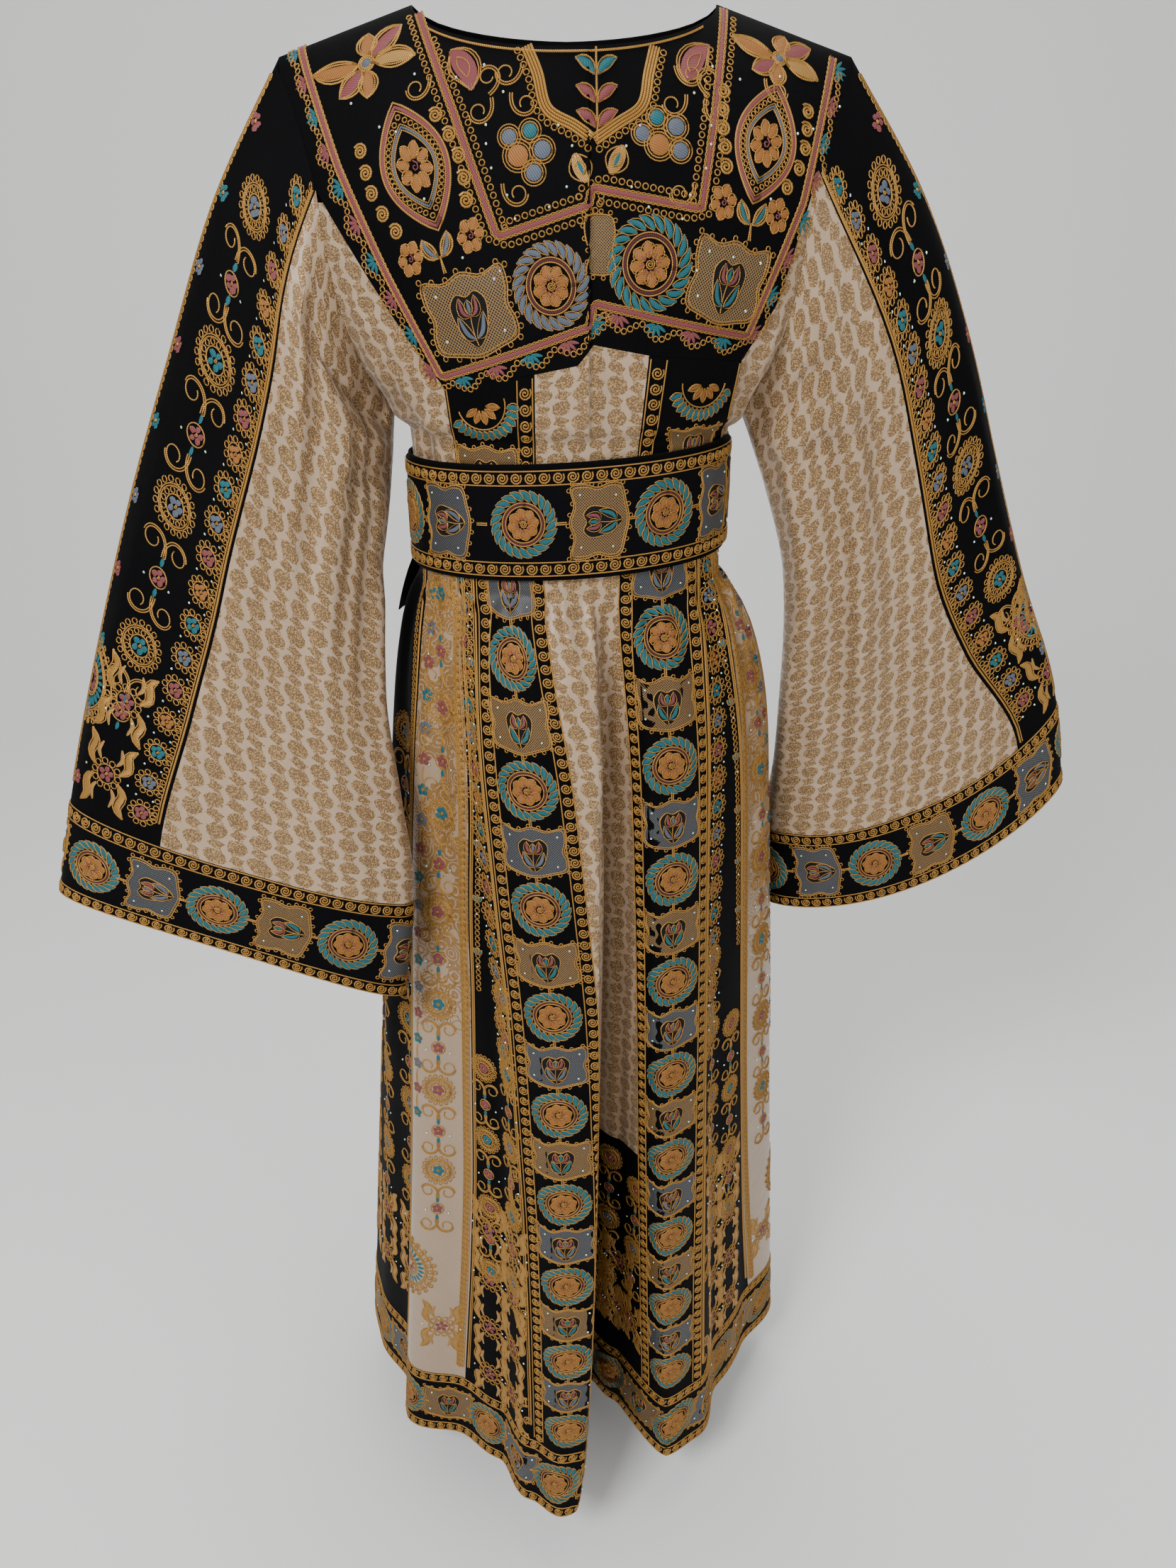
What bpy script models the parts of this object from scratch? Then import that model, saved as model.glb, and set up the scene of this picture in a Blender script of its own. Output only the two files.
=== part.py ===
"""Embroidered thobe with its own velvet belt, worn and filled out, hollow from neck to hem.

Metres, +Z up. The origin is the middle of the neck opening, level with the two neck points.
The decorated front faces -Y. The wearer's hollow runs through the neck, both cuffs and the hem.
Every piece is a cloth wall, laid on one shared surface, and parted from its neighbours at the seams.
"""
import math

import bmesh
import bpy
import numpy as np

# Driving sizes
WALL = 0.0015
SEAM = 0.0003
NECK_HALF = 0.1175
NECK_DIP_FRONT = 0.036
NECK_DIP_BACK = 0.018
SHOULDER_SLOPE = 0.324
SHOULDER_ROLL = 0.130
SHOULDER_HALF = 0.2262
UNDERARM_Z = -0.305
WAIST_Z = -0.405
WAIST_HALF = 0.1405
WAIST_FRONT = 0.1050
WAIST_BACK = 0.0890
WAIST_EASE = 0.001
CENTRE_END_Z = -1.050
HEM_BAND_Z = -1.377
HEM_Z = -1.470
BELT_Z = -0.379
BELT_HEIGHT = 0.098
BELT_SLOPE = 0.055
BELT_CLEARANCE = 0.0008
BELT_WALL = 0.0025
RIBBON_HEIGHT = 0.090
RIBBON_WALL = 0.0018
RIBBON_REACH = 97.5
BELT_STEP = 7.5
KNOT_SIZE = (0.0095, 0.021, 0.019)
KNOT_ANGLE = -115.5
KNOT_DROP = 0.004
KNOT_GAP = 0.0005
TAIL_TOP_Z = BELT_Z - 0.034
TAIL_WAVE = 0.0012
TAIL_CLEARANCE = 0.0010
TUCK_X = 0.0185
TUCK_HEIGHT = 0.0045
TUCK_REACH = 0.022
TUCK_TOP = 0.050
GATHER_COUNT = 26
GATHER_HEIGHT = 0.0030
FLARE_Z = -0.445
PUFF_FALL = 0.05
SIDE_SEAM_ANGLE = 106.0
SKIRT_BACKWARD = 0.030


def smooth(keys, values, at):
    """Read a table column at any key, on a curve that never overshoots its rows."""
    keys = np.asarray(keys, float)
    values = np.asarray(values, float)
    at = np.clip(np.asarray(at, float), keys[0], keys[-1])
    step = np.diff(keys)
    rise = np.diff(values) / step
    slope = np.zeros(len(keys))
    slope[0], slope[-1] = rise[0], rise[-1]
    same = rise[:-1] * rise[1:] > 0
    total = np.where(same, rise[:-1] + rise[1:], 1.0)
    slope[1:-1] = np.where(same, 2 * rise[:-1] * rise[1:] / total, 0.0)
    i = np.clip(np.searchsorted(keys, at, side="right") - 1, 0, len(step) - 1)
    f = (at - keys[i]) / step[i]
    start = (1 + 2 * f) * (1 - f) ** 2 * values[i] + f * (1 - f) ** 2 * step[i] * slope[i]
    end = f * f * (3 - 2 * f) * values[i + 1] - f * f * (1 - f) * step[i] * slope[i + 1]
    return start + end


class Table:
    """Rows of named columns. The first column is the key, in either direction."""

    def __init__(self, names, rows):
        rows = np.array(sorted(rows), float)
        self.columns = dict(zip(names.split(), rows.T))
        self.key = rows[:, 0]

    def at(self, name, key):
        return smooth(self.key, self.columns[name], key)

    def line(self, name, key):
        return np.interp(key, self.key, self.columns[name])


# Level sections of the bodice: an ellipse with its own front and back depth
BODICE = Table("z half front back", (
    (0.040, 0.235, 0.075, 0.068),
    (-0.060, 0.235, 0.092, 0.085),
    (-0.130, 0.235, 0.108, 0.096),
    (-0.200, 0.217, 0.120, 0.098),
    (-0.260, 0.183, 0.119, 0.094),
    (-0.290, 0.161, 0.115, 0.092),
    (-0.305, 0.154, 0.112, 0.091),
    (-0.316, WAIST_HALF, WAIST_FRONT, WAIST_BACK),
    (-0.380, WAIST_HALF - 2 * WAIST_EASE, WAIST_FRONT - 2 * WAIST_EASE, WAIST_BACK - 2 * WAIST_EASE),
    (-0.445, WAIST_HALF - WAIST_EASE, WAIST_FRONT - WAIST_EASE, WAIST_BACK - WAIST_EASE),
))

# The armhole seam, as seen from the front
ARMHOLE = Table("z reach", (
    (-0.030, 0.2262),
    (-0.042, 0.2262),
    (-0.060, 0.2175),
    (-0.100, 0.2030),
    (-0.130, 0.1945),
    (-0.200, 0.1870),
    (-0.260, 0.1730),
    (-0.290, 0.1595),
    (-0.305, 0.1540),
))
ARMHOLE_TOP_STEPS = (-0.0343, -0.043, -0.060, -0.080, -0.102)
ARMHOLE_LOW_STEPS = {
    "left": (-0.130, -0.156, -0.183, -0.210, -0.2375, -0.249, -0.272, -0.284, -0.295, -0.305),
    "right": (-0.116, -0.142, -0.172, -0.198, -0.222, -0.240, -0.254, -0.274, -0.292, -0.305),
}
SIDE_STEPS = (-0.316, -0.345, -0.375, WAIST_Z)

# Slanting edge of the yoke, from the armhole down to the yoke's lower corner
YOKE_EDGE = {
    "left": Table("z reach", (
        (-0.130, float(ARMHOLE.at("reach", -0.130))),
        (-0.2375, 0.1250),
        (-0.272, 0.0980),
    )),
    "right": Table("z reach", (
        (-0.116, float(ARMHOLE.at("reach", -0.116))),
        (-0.160, 0.1845),
        (-0.211, 0.1700),
        (-0.240, 0.1520),
        (-0.254, 0.1430),
    )),
}

# Lower edge of the yoke, with the step where the middle fold laps
YOKE_FOOT = Table("x z", (
    (-0.098, -0.272),
    (-0.024, -0.260),
    (0.010, -0.253),
    (0.0225, -0.238),
    (0.066, -0.2465),
    (0.143, -0.254),
))
BODICE_COLUMNS = (
    # name, slot, columns along the yoke's lower edge
    ("bodice_band_left", "black_crepe", (-0.098, -0.075, -0.050, -0.024)),
    ("bodice_centre", "cream_brocade", (-0.024, 0.000, 0.010, TUCK_X, 0.0225, 0.038, 0.066)),
    ("bodice_band_right", "black_crepe", (0.066, 0.088, 0.111, 0.118, 0.125, 0.143)),
)
YOKE_ROWS = 8

# Edges of the two bodice bands, at the yoke and at the waist seam
BODICE_BANDS = Table("place yoke waist", (
    (0, -0.098, -0.088),
    (1, -0.024, -0.026),
    (2, 0.066, 0.052),
    (3, 0.143, 0.125),
))

# Folds of the skirt. Each has an angle from the front at belt and hem, how soon it swings from one to
# the other, the share of its flare that comes right under the belt, and its reach from the middle at the hem
SKIRT_FOLDS = (
    # at_belt, at_hem, swing, puff, reach
    (-98.0, -96.3, 3.0, 0.20, 0.2700),
    (-85.0, -77.8, 3.0, 0.20, 0.2560),
    (-75.0, -62.8, 3.0, 0.20, 0.2360),
    (-66.0, -49.7, 3.0, 0.20, 0.2595),
    (-56.0, -35.5, 3.0, 0.20, 0.2270),
    (-47.0, -22.0, 3.0, 0.20, 0.2330),
    (-37.0, -10.3, 3.0, 0.20, 0.2700),
    (-25.0, -2.4, 3.0, 0.20, 0.2860),
    (10.8, 0.6, 0.6, 0.20, 0.2820),
    (13.2, 2.8, 0.6, 0.18, 0.1960),
    (18.0, 10.3, 1.0, 0.15, 0.1120),
    (24.0, 19.4, 1.0, 0.18, 0.1470),
    (31.0, 27.7, 1.0, 0.22, 0.2407),
    (43.0, 38.2, 1.0, 0.26, 0.2406),
    (59.0, 56.5, 1.0, 0.34, 0.2150),
    (73.5, 73.5, 1.0, 0.40, 0.2240),
    (92.6, 92.6, 1.0, 0.40, 0.2640),
    (112.0, 112.0, 1.0, 0.32, 0.2350),
    (131.0, 131.0, 1.0, 0.25, 0.2620),
    (151.0, 151.0, 1.0, 0.22, 0.2250),
    (171.0, 171.0, 1.0, 0.22, 0.2600),
    (190.0, 190.0, 1.0, 0.22, 0.2260),
    (208.0, 208.0, 1.0, 0.22, 0.2580),
    (227.0, 227.0, 1.0, 0.20, 0.2320),
    (244.0, 246.0, 1.0, 0.20, 0.2580),
)

# Middle lines of the two skirt bands, as distances across the front
BAND_LINES = Table("z left right", (
    (-0.405, -0.052, 0.081),
    (-0.490, -0.047, 0.085),
    (-0.620, -0.035, 0.0950),
    (-0.730, -0.025, 0.0990),
    (-0.850, -0.0145, 0.1020),
    (-0.980, -0.0090, 0.1040),
    (-1.090, -0.0050, 0.1065),
    (-1.250, -0.0030, 0.1100),
    (-1.400, -0.0030, 0.1145),
    (-1.470, -0.0030, 0.1150),
))

# Widths of the skirt panels, measured along the cloth at each height
PANEL_WIDTHS = Table("z half_left half_right strip_left satin_left strip_right satin_right", (
    (-0.405, 0.0300, 0.0390, 0.018, 0.044, 0.028, 0.040),
    (-0.500, 0.0350, 0.0430, 0.022, 0.052, 0.042, 0.052),
    (-0.620, 0.0420, 0.0440, 0.031, 0.064, 0.058, 0.070),
    (-0.800, 0.0440, 0.0440, 0.056, 0.072, 0.074, 0.082),
    (-1.100, 0.0440, 0.0440, 0.086, 0.080, 0.108, 0.090),
    (-1.377, 0.0440, 0.0440, 0.118, 0.085, 0.152, 0.092),
))

SKIRT_PANELS = (
    # name, columns, slot, in order from the left side seam round the front
    ("skirt_side_left", 6, "black_crepe"),
    ("skirt_satin_left", 6, "cream_satin"),
    ("skirt_strip_left", 7, "black_crepe"),
    ("skirt_band_left", 6, "black_crepe"),
    ("skirt_centre", 9, "cream_brocade"),
    ("skirt_band_right", 6, "black_crepe"),
    ("skirt_strip_right", 8, "black_crepe"),
    ("skirt_satin_right", 6, "cream_satin"),
    ("skirt_side_right", 3, "black_crepe"),
)
BACK_COLUMNS = 23

SKIRT_ROWS = (
    WAIST_Z, -0.425, -0.445, -0.465, -0.495, -0.535, -0.585, -0.645, -0.715, -0.785,
    -0.855, -0.925, -0.990, CENTRE_END_Z, -1.110, -1.175, -1.240, -1.310, HEM_BAND_Z,
)
HEM_ROWS = (HEM_BAND_Z, -1.424, HEM_Z)

# Sleeve rings: the fold line over the arm, the fold line under it, and half the depth between
SLEEVE = {
    "left": Table("t ox oy oz ix iy iz depth sag seam", (
        (0.00, -0.2262, 0.000, -0.040, -0.154, 0.000, -0.305, 0.062, 0.000, 72),
        (0.20, -0.2900, -0.028, -0.150, -0.160, -0.020, -0.375, 0.062, 0.004, 74),
        (0.40, -0.3310, -0.053, -0.255, -0.170, -0.052, -0.458, 0.058, 0.008, 77),
        (0.60, -0.3710, -0.077, -0.362, -0.169, -0.085, -0.538, 0.054, 0.010, 77),
        (0.80, -0.4100, -0.103, -0.482, -0.157, -0.115, -0.632, 0.051, 0.010, 72),
        (1.00, -0.4520, -0.130, -0.625, -0.147, -0.137, -0.730, 0.050, 0.000, 66),
        (1.15, -0.4740, -0.142, -0.712, -0.160, -0.147, -0.828, 0.050, -0.016, 66),
    )),
    "right": Table("t ox oy oz ix iy iz depth sag seam", (
        (0.00, 0.2262, 0.000, -0.040, 0.154, 0.000, -0.305, 0.062, 0.000, 68),
        (0.20, 0.3000, 0.008, -0.140, 0.180, 0.004, -0.372, 0.062, 0.004, 74),
        (0.40, 0.3500, 0.016, -0.240, 0.204, 0.012, -0.458, 0.058, 0.009, 77),
        (0.60, 0.3950, 0.025, -0.352, 0.211, 0.028, -0.545, 0.054, 0.015, 74),
        (0.80, 0.4400, 0.033, -0.463, 0.213, 0.048, -0.648, 0.051, 0.022, 62),
        (1.00, 0.5000, 0.040, -0.598, 0.213, 0.064, -0.755, 0.050, 0.030, 46),
        (1.15, 0.5230, 0.045, -0.688, 0.216, 0.068, -0.848, 0.050, 0.032, 46),
    )),
}
SLEEVE_ROWS = (0.0, 0.045, 0.10, 0.17, 0.25, 0.34, 0.44, 0.54, 0.64, 0.74, 0.83, 0.92, 1.0)
CUFF_ROWS = (1.0, 1.075, 1.15)
ARMHOLE_BLEND = 0.30

# Soft troughs that run down the sleeves
SLEEVE_CREASES = (
    # hand, angle, width, depth, start, end
    ("left", 98, 13, 0.0075, 0.16, 1.05),
    ("left", 128, 11, 0.0090, 0.10, 0.92),
    ("left", 153, 9, 0.0050, 0.30, 1.10),
    ("left", 48, 12, 0.0045, 0.05, 0.85),
    ("left", -60, 13, 0.0060, 0.10, 0.90),
    ("left", -100, 14, 0.0085, 0.20, 1.10),
    ("left", -138, 12, 0.0070, 0.05, 0.95),
    ("right", 92, 12, 0.0085, 0.22, 1.05),
    ("right", 122, 12, 0.0065, 0.05, 0.80),
    ("right", 148, 10, 0.0055, 0.30, 1.10),
    ("right", 40, 12, 0.0045, 0.10, 0.90),
    ("right", -58, 12, 0.0060, 0.05, 0.85),
    ("right", -96, 14, 0.0080, 0.25, 1.10),
    ("right", -135, 12, 0.0065, 0.10, 0.95),
)

# The belt's loose ends, with the angles of their two edges and their lowest height
BELT_TAILS = (
    # name, first_angle, last_angle, low
    ("belt_tail_front", -97.0, -112.0, -0.495),
    ("belt_tail_back", -119.0, -135.0, -0.575),
)
TAIL_COLUMNS = 6
TAIL_ROWS = 9

# Drag folds on the bodice: a line from start to end, its width, and its height over the cloth
BODICE_FOLDS = (
    # side, x0, z0, x1, z1, width, height
    (-1, -0.150, -0.262, -0.096, -0.330, 0.011, 0.0060),
    (-1, -0.128, -0.240, -0.118, -0.330, 0.008, -0.0045),
    (-1, -0.168, -0.215, -0.150, -0.290, 0.009, 0.0040),
    (-1, 0.170, -0.235, 0.135, -0.325, 0.011, 0.0055),
    (-1, 0.152, -0.290, 0.140, -0.330, 0.007, -0.0040),
    (-1, 0.038, -0.262, 0.034, -0.330, 0.010, -0.0040),
    (1, -0.140, -0.250, -0.080, -0.325, 0.013, 0.0060),
    (1, 0.145, -0.245, 0.090, -0.325, 0.013, 0.0060),
    (1, -0.035, -0.230, -0.030, -0.330, 0.015, 0.0045),
    (1, 0.050, -0.215, 0.040, -0.330, 0.015, -0.0040),
)

COLOURS = {
    "black_crepe": (0.010, 0.011, 0.016, 1.0),
    "cream_brocade": (0.62, 0.48, 0.34, 1.0),
    "cream_satin": (0.78, 0.68, 0.56, 1.0),
    "embroidered_band": (0.30, 0.19, 0.07, 1.0),
    "black_velvet": (0.006, 0.006, 0.007, 1.0),
}
ROUGHNESS = {
    "black_crepe": 0.75,
    "cream_brocade": 0.50,
    "cream_satin": 0.38,
    "embroidered_band": 0.60,
    "black_velvet": 0.95,
}


def clear_scene():
    for item in list(bpy.data.objects):
        bpy.data.objects.remove(item, do_unlink=True)
    for mesh in list(bpy.data.meshes):
        bpy.data.meshes.remove(mesh)


def unit(vectors):
    length = np.linalg.norm(vectors, axis=-1, keepdims=True)
    return vectors / np.maximum(length, 1e-12)


def ease(value):
    value = np.clip(value, 0.0, 1.0)
    return value * value * (3 - 2 * value)


def ridge_z(x):
    """Height of the shoulder ridge, which falls away from the neck."""
    return NECK_HALF * SHOULDER_SLOPE - SHOULDER_SLOPE * np.abs(x)


def bodice_top(side, x):
    """Height of the bodice's upper edge: the shoulder ridge, or the neckline between the neck points."""
    dip = NECK_DIP_FRONT if side < 0 else NECK_DIP_BACK
    inside = np.clip(1 - (np.abs(x) / NECK_HALF) ** 2, 0, 1)
    return np.where(np.abs(x) < NECK_HALF, -dip * np.sqrt(inside), ridge_z(x))


def bodice_relief(side, x, z):
    """How far the folds stand out from the plain bodice."""
    relief = np.zeros(np.broadcast(x, z).shape)
    for fold_side, x0, z0, x1, z1, width, height in BODICE_FOLDS:
        if fold_side != side:
            continue
        length = math.hypot(x1 - x0, z1 - z0)
        along = ((x - x0) * (x1 - x0) + (z - z0) * (z1 - z0)) / length
        across = ((x - x0) * (z1 - z0) - (z - z0) * (x1 - x0)) / length
        ends = ease((along + 0.03) / 0.05) * ease((length + 0.01 - along) / 0.03)
        relief = relief + height * np.exp(-(across / width) ** 2) * ends
    if side < 0:
        rise = np.where(x <= TUCK_X, np.exp(-np.clip(TUCK_X - x, 0, None) / TUCK_REACH), 0.0)
        grow = 0.35 + 0.65 * ease((-z - TUCK_TOP) / 0.10)
        relief = relief + TUCK_HEIGHT * rise * grow
    keep = ease((z - (WAIST_Z + 0.085)) / 0.02)
    return relief * keep


def bodice(side, angle, z, folded=True):
    """Point of the bodice at an angle from the middle. side is -1 for the front and 1 for the back."""
    half = BODICE.at("half", z)
    deep = BODICE.at("front" if side < 0 else "back", z)
    x = half * np.sin(angle)
    low = ridge_z(x) - SHOULDER_ROLL
    over = np.clip((z - low) / SHOULDER_ROLL, 0, 1)
    roll = np.sqrt(1 - over * over)
    reach = deep * np.cos(angle) * roll
    if folded:
        reach = reach + bodice_relief(side, x, z) * np.minimum(1, np.abs(reach) / 0.03)
    return np.stack(np.broadcast_arrays(x, side * reach, z), axis=-1)


def bodice_angle(x, z):
    return np.arcsin(np.clip(x / BODICE.at("half", z), -1, 1))


def bodice_panel(side, x, z):
    """Points and plain normals of the bodice at positions seen from the front."""
    angle = bodice_angle(x, z)
    points = bodice(side, angle, z)
    turn, drop = 1e-3, 2e-4
    across = bodice(side, angle + turn, z, False) - bodice(side, angle - turn, z, False)
    down = bodice(side, angle, z - drop, False) - bodice(side, angle, z + drop, False)
    normals = unit(np.cross(across, down)) * side
    on_ridge = np.abs(points[..., 1]) < 1e-5
    level = np.where(on_ridge[..., None], normals * (1, 0, 1), normals)
    return points, unit(level)


def fold_reach(angle, z):
    """Distance from the skirt's middle line to the cloth, at angles in degrees from the front."""
    fall = np.clip((FLARE_Z - z) / (FLARE_Z - HEM_Z), 0, 1)
    at_belt, at_hem, swing, puff, hem_reach = np.array(SKIRT_FOLDS).T
    centre = at_hem + (at_belt - at_hem) * (1 - fall) ** swing
    open_up = puff * (1 - math.exp(-fall / PUFF_FALL)) + (1 - puff) * fall
    rise = (hem_reach - waist_reach(centre, z)) * open_up
    centre = np.concatenate(([centre[-1] - 360], centre, [centre[0] + 360]))
    rise = np.concatenate(([rise[-1]], rise, [rise[0]]))
    angle = (np.asarray(angle, float) - centre[0]) % 360 + centre[0]
    i = np.clip(np.searchsorted(centre, angle, side="right") - 1, 0, len(centre) - 2)
    part = (angle - centre[i]) / (centre[i + 1] - centre[i])
    blend = 0.5 - 0.5 * np.cos(np.pi * part)
    below = max(FLARE_Z + 0.004 - z, 0.0)
    gather = GATHER_HEIGHT * ease(below / 0.02) * math.exp(-below / 0.09)
    wave = gather * np.cos(np.radians(angle) * GATHER_COUNT)
    return waist_reach(angle, z) + rise[i] * (1 - blend) + rise[i + 1] * blend + wave


def waist_reach(angle, z):
    """Reach of the plain waist section at an angle in degrees from the front."""
    turn = np.radians(angle)
    half, front, back = (BODICE.at(name, max(z, FLARE_Z)) for name in ("half", "front", "back"))
    deep = np.where(np.cos(turn) > 0, front, back)
    return 1 / np.sqrt((np.sin(turn) / half) ** 2 + (np.cos(turn) / deep) ** 2)


def skirt(angle, z):
    """Points of the skirt at one height, at angles in degrees from the front."""
    reach = fold_reach(angle, z)
    fall = max((FLARE_Z - z) / (FLARE_Z - HEM_Z), 0.0)
    turn = np.radians(angle)
    x = reach * np.sin(turn)
    y = SKIRT_BACKWARD * fall - reach * np.cos(turn)
    return np.stack((x, y, np.full_like(x, z)), axis=-1)


def skirt_seams(z):
    """Angles of every seam at one height, in order round the skirt from the left side seam."""
    angle = np.arange(-SIDE_SEAM_ANGLE, SIDE_SEAM_ANGLE + 0.1, 0.2)
    points = skirt(angle, z)
    lengths = np.concatenate(([0], np.cumsum(np.linalg.norm(np.diff(points, axis=0), axis=1))))
    front = np.abs(angle) < 75
    middle = {}
    for hand in ("left", "right"):
        line = BAND_LINES.at(hand, z)
        middle[hand] = np.interp(np.interp(line, points[front, 0], angle[front]), angle, lengths)
    width = {name: float(PANEL_WIDTHS.at(name, z)) for name in PANEL_WIDTHS.columns}
    left_in = middle["left"] + width["half_left"]
    left_out = middle["left"] - width["half_left"]
    right_in = middle["right"] - width["half_right"]
    right_out = middle["right"] + width["half_right"]
    places = (
        0.0,
        left_out - width["strip_left"] - width["satin_left"],
        left_out - width["strip_left"],
        left_out,
        left_in,
        right_in,
        right_out,
        right_out + width["strip_right"],
        right_out + width["strip_right"] + width["satin_right"],
        lengths[-1],
    )
    return places, lengths, angle


def back_columns(z, count):
    angle = np.linspace(SIDE_SEAM_ANGLE, 360 - SIDE_SEAM_ANGLE, 401)
    points = skirt(angle, z)
    lengths = np.concatenate(([0], np.cumsum(np.linalg.norm(np.diff(points, axis=0), axis=1))))
    return np.interp(np.linspace(0, lengths[-1], count + 1), lengths, angle)


def armhole_steps(hand):
    """Heights of the armhole seam's points, from the shoulder down to the underarm."""
    return np.array(ARMHOLE_TOP_STEPS + ARMHOLE_LOW_STEPS[hand])


def armhole(hand, side):
    """Points and normals of half an armhole, from the shoulder down to the underarm."""
    z = armhole_steps(hand)
    z[0] = ridge_z(SHOULDER_HALF)
    x = ARMHOLE.at("reach", z) * (-1 if hand == "left" else 1)
    x[-1] = BODICE.at("half", z[-1]) * np.sign(x[-1])
    points, normals = bodice_panel(side, x, z)
    points[0, 1] = points[-1, 1] = 0.0
    normals[-1] = (np.sign(x[-1]), 0, 0)
    return points, normals


def sleeve_angles(hand, t):
    """Angles of the sleeve's columns: 0 is the fold over the arm, and positive angles face front."""
    seam = float(SLEEVE[hand].at("seam", min(t, 1.0)))
    top = np.linspace(0, seam, len(ARMHOLE_TOP_STEPS) + 1)
    under = np.linspace(seam, 180, len(ARMHOLE_LOW_STEPS[hand]))
    half = np.concatenate((top, under[1:]))
    return np.concatenate((half, -half[-2:0:-1]))


def sleeve_ring(hand, t):
    """One ring of the sleeve: the plain ring, moved by what the armhole seam differs from the first one."""
    seam_front, _ = armhole(hand, -1)
    seam_back, _ = armhole(hand, 1)
    hole = np.concatenate((seam_front, seam_back[-2:0:-1]))
    return plain_ring(hand, t) + (hole - plain_ring(hand, 0.0)) * (1 - ease(t / ARMHOLE_BLEND))


def sleeve_middle(table, t):
    """The middle between the two fold lines of a sleeve."""
    pairs = (("ox", "ix"), ("oy", "iy"), ("oz", "iz"))
    return np.array([float(table.at(outer, t) + table.at(inner, t)) / 2 for outer, inner in pairs])


def plain_ring(hand, t):
    """One ring of the sleeve between its two fold lines, with its creases."""
    table = SLEEVE[hand]
    outer = np.array([float(table.at(name, t)) for name in ("ox", "oy", "oz")])
    inner = np.array([float(table.at(name, t)) for name in ("ix", "iy", "iz")])
    before, after = (sleeve_middle(table, u) for u in (max(t - 0.05, 0), min(t + 0.05, CUFF_ROWS[-1])))
    axis = unit(after - before)
    across = (outer - inner) / 2
    front = unit(np.cross(across, axis))
    front = front * (-1 if front[1] > 0 else 1)
    angles = sleeve_angles(hand, t)
    turn = np.radians(angles)[:, None]
    depth = float(table.at("depth", t))
    bulge = np.full((len(angles), 1), depth)
    for crease_hand, middle, width, trough, start, end in SLEEVE_CREASES:
        if crease_hand == hand:
            near = np.exp(-((angles - middle) / width) ** 2)[:, None]
            bulge = bulge - trough * near * ease((t - start) / 0.15) * ease((end - t) / 0.15)
    ring = (outer + inner) / 2 + across * np.cos(turn) + front * bulge * np.sin(turn)
    return ring + axis * float(table.at("sag", t)) * np.sin(turn) ** 2


def sleeve_grid(hand, rows):
    """Rings and outward normals of a stretch of the sleeve."""
    rings = np.array([sleeve_ring(hand, t) for t in rows])
    ahead = np.array([sleeve_ring(hand, min(t + 0.01, CUFF_ROWS[-1])) for t in rows])
    behind = np.array([sleeve_ring(hand, max(t - 0.01, 0.0)) for t in rows])
    around = np.roll(rings, -1, axis=1) - np.roll(rings, 1, axis=1)
    normals = unit(np.cross(around, ahead - behind))
    centre = rings.mean(axis=1, keepdims=True)
    facing = np.sum(normals * (rings - centre), axis=-1).mean()
    normals = normals * (1 if facing > 0 else -1)
    return rings, normals


def armhole_mitre(hand):
    """Normals along the armhole seam for the bodice and for the sleeve, alike where the seam is convex."""
    rings, sleeve = sleeve_grid(hand, (0.0, 0.02))
    _, front = armhole(hand, -1)
    _, back = armhole(hand, 1)
    body = np.concatenate((front, back[-2:0:-1]))
    away = unit(rings[1] - rings[0])
    convex = ease(-np.sum(away * body, axis=-1, keepdims=True) / 0.2)
    mitre = unit(body + sleeve[0])
    return unit(body * (1 - convex) + mitre * convex), unit(sleeve[0] * (1 - convex) + mitre * convex)


def square_off(edge, beside):
    """Unit steps from an edge towards the cloth beside it, square to the edge."""
    along = np.empty_like(edge)
    along[1:-1] = edge[2:] - edge[:-2]
    along[0], along[-1] = edge[1] - edge[0], edge[-1] - edge[-2]
    along = unit(along)
    step = unit(beside - edge)
    return unit(step - along * np.sum(step * along, axis=-1, keepdims=True))


def part_edges(points, edges):
    """Draw the named edges of a grid back by half a seam gap each, within the cloth."""
    source = points
    points = points.copy()
    half = SEAM / 2
    if "top" in edges:
        points[0] += square_off(source[0], source[1]) * half
    if "bottom" in edges:
        points[-1] += square_off(source[-1], source[-2]) * half
    if "first" in edges:
        points[:, 0] += square_off(source[:, 0], source[:, 1]) * half
    if "last" in edges:
        points[:, -1] += square_off(source[:, -1], source[:, -2]) * half
    return points


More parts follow.
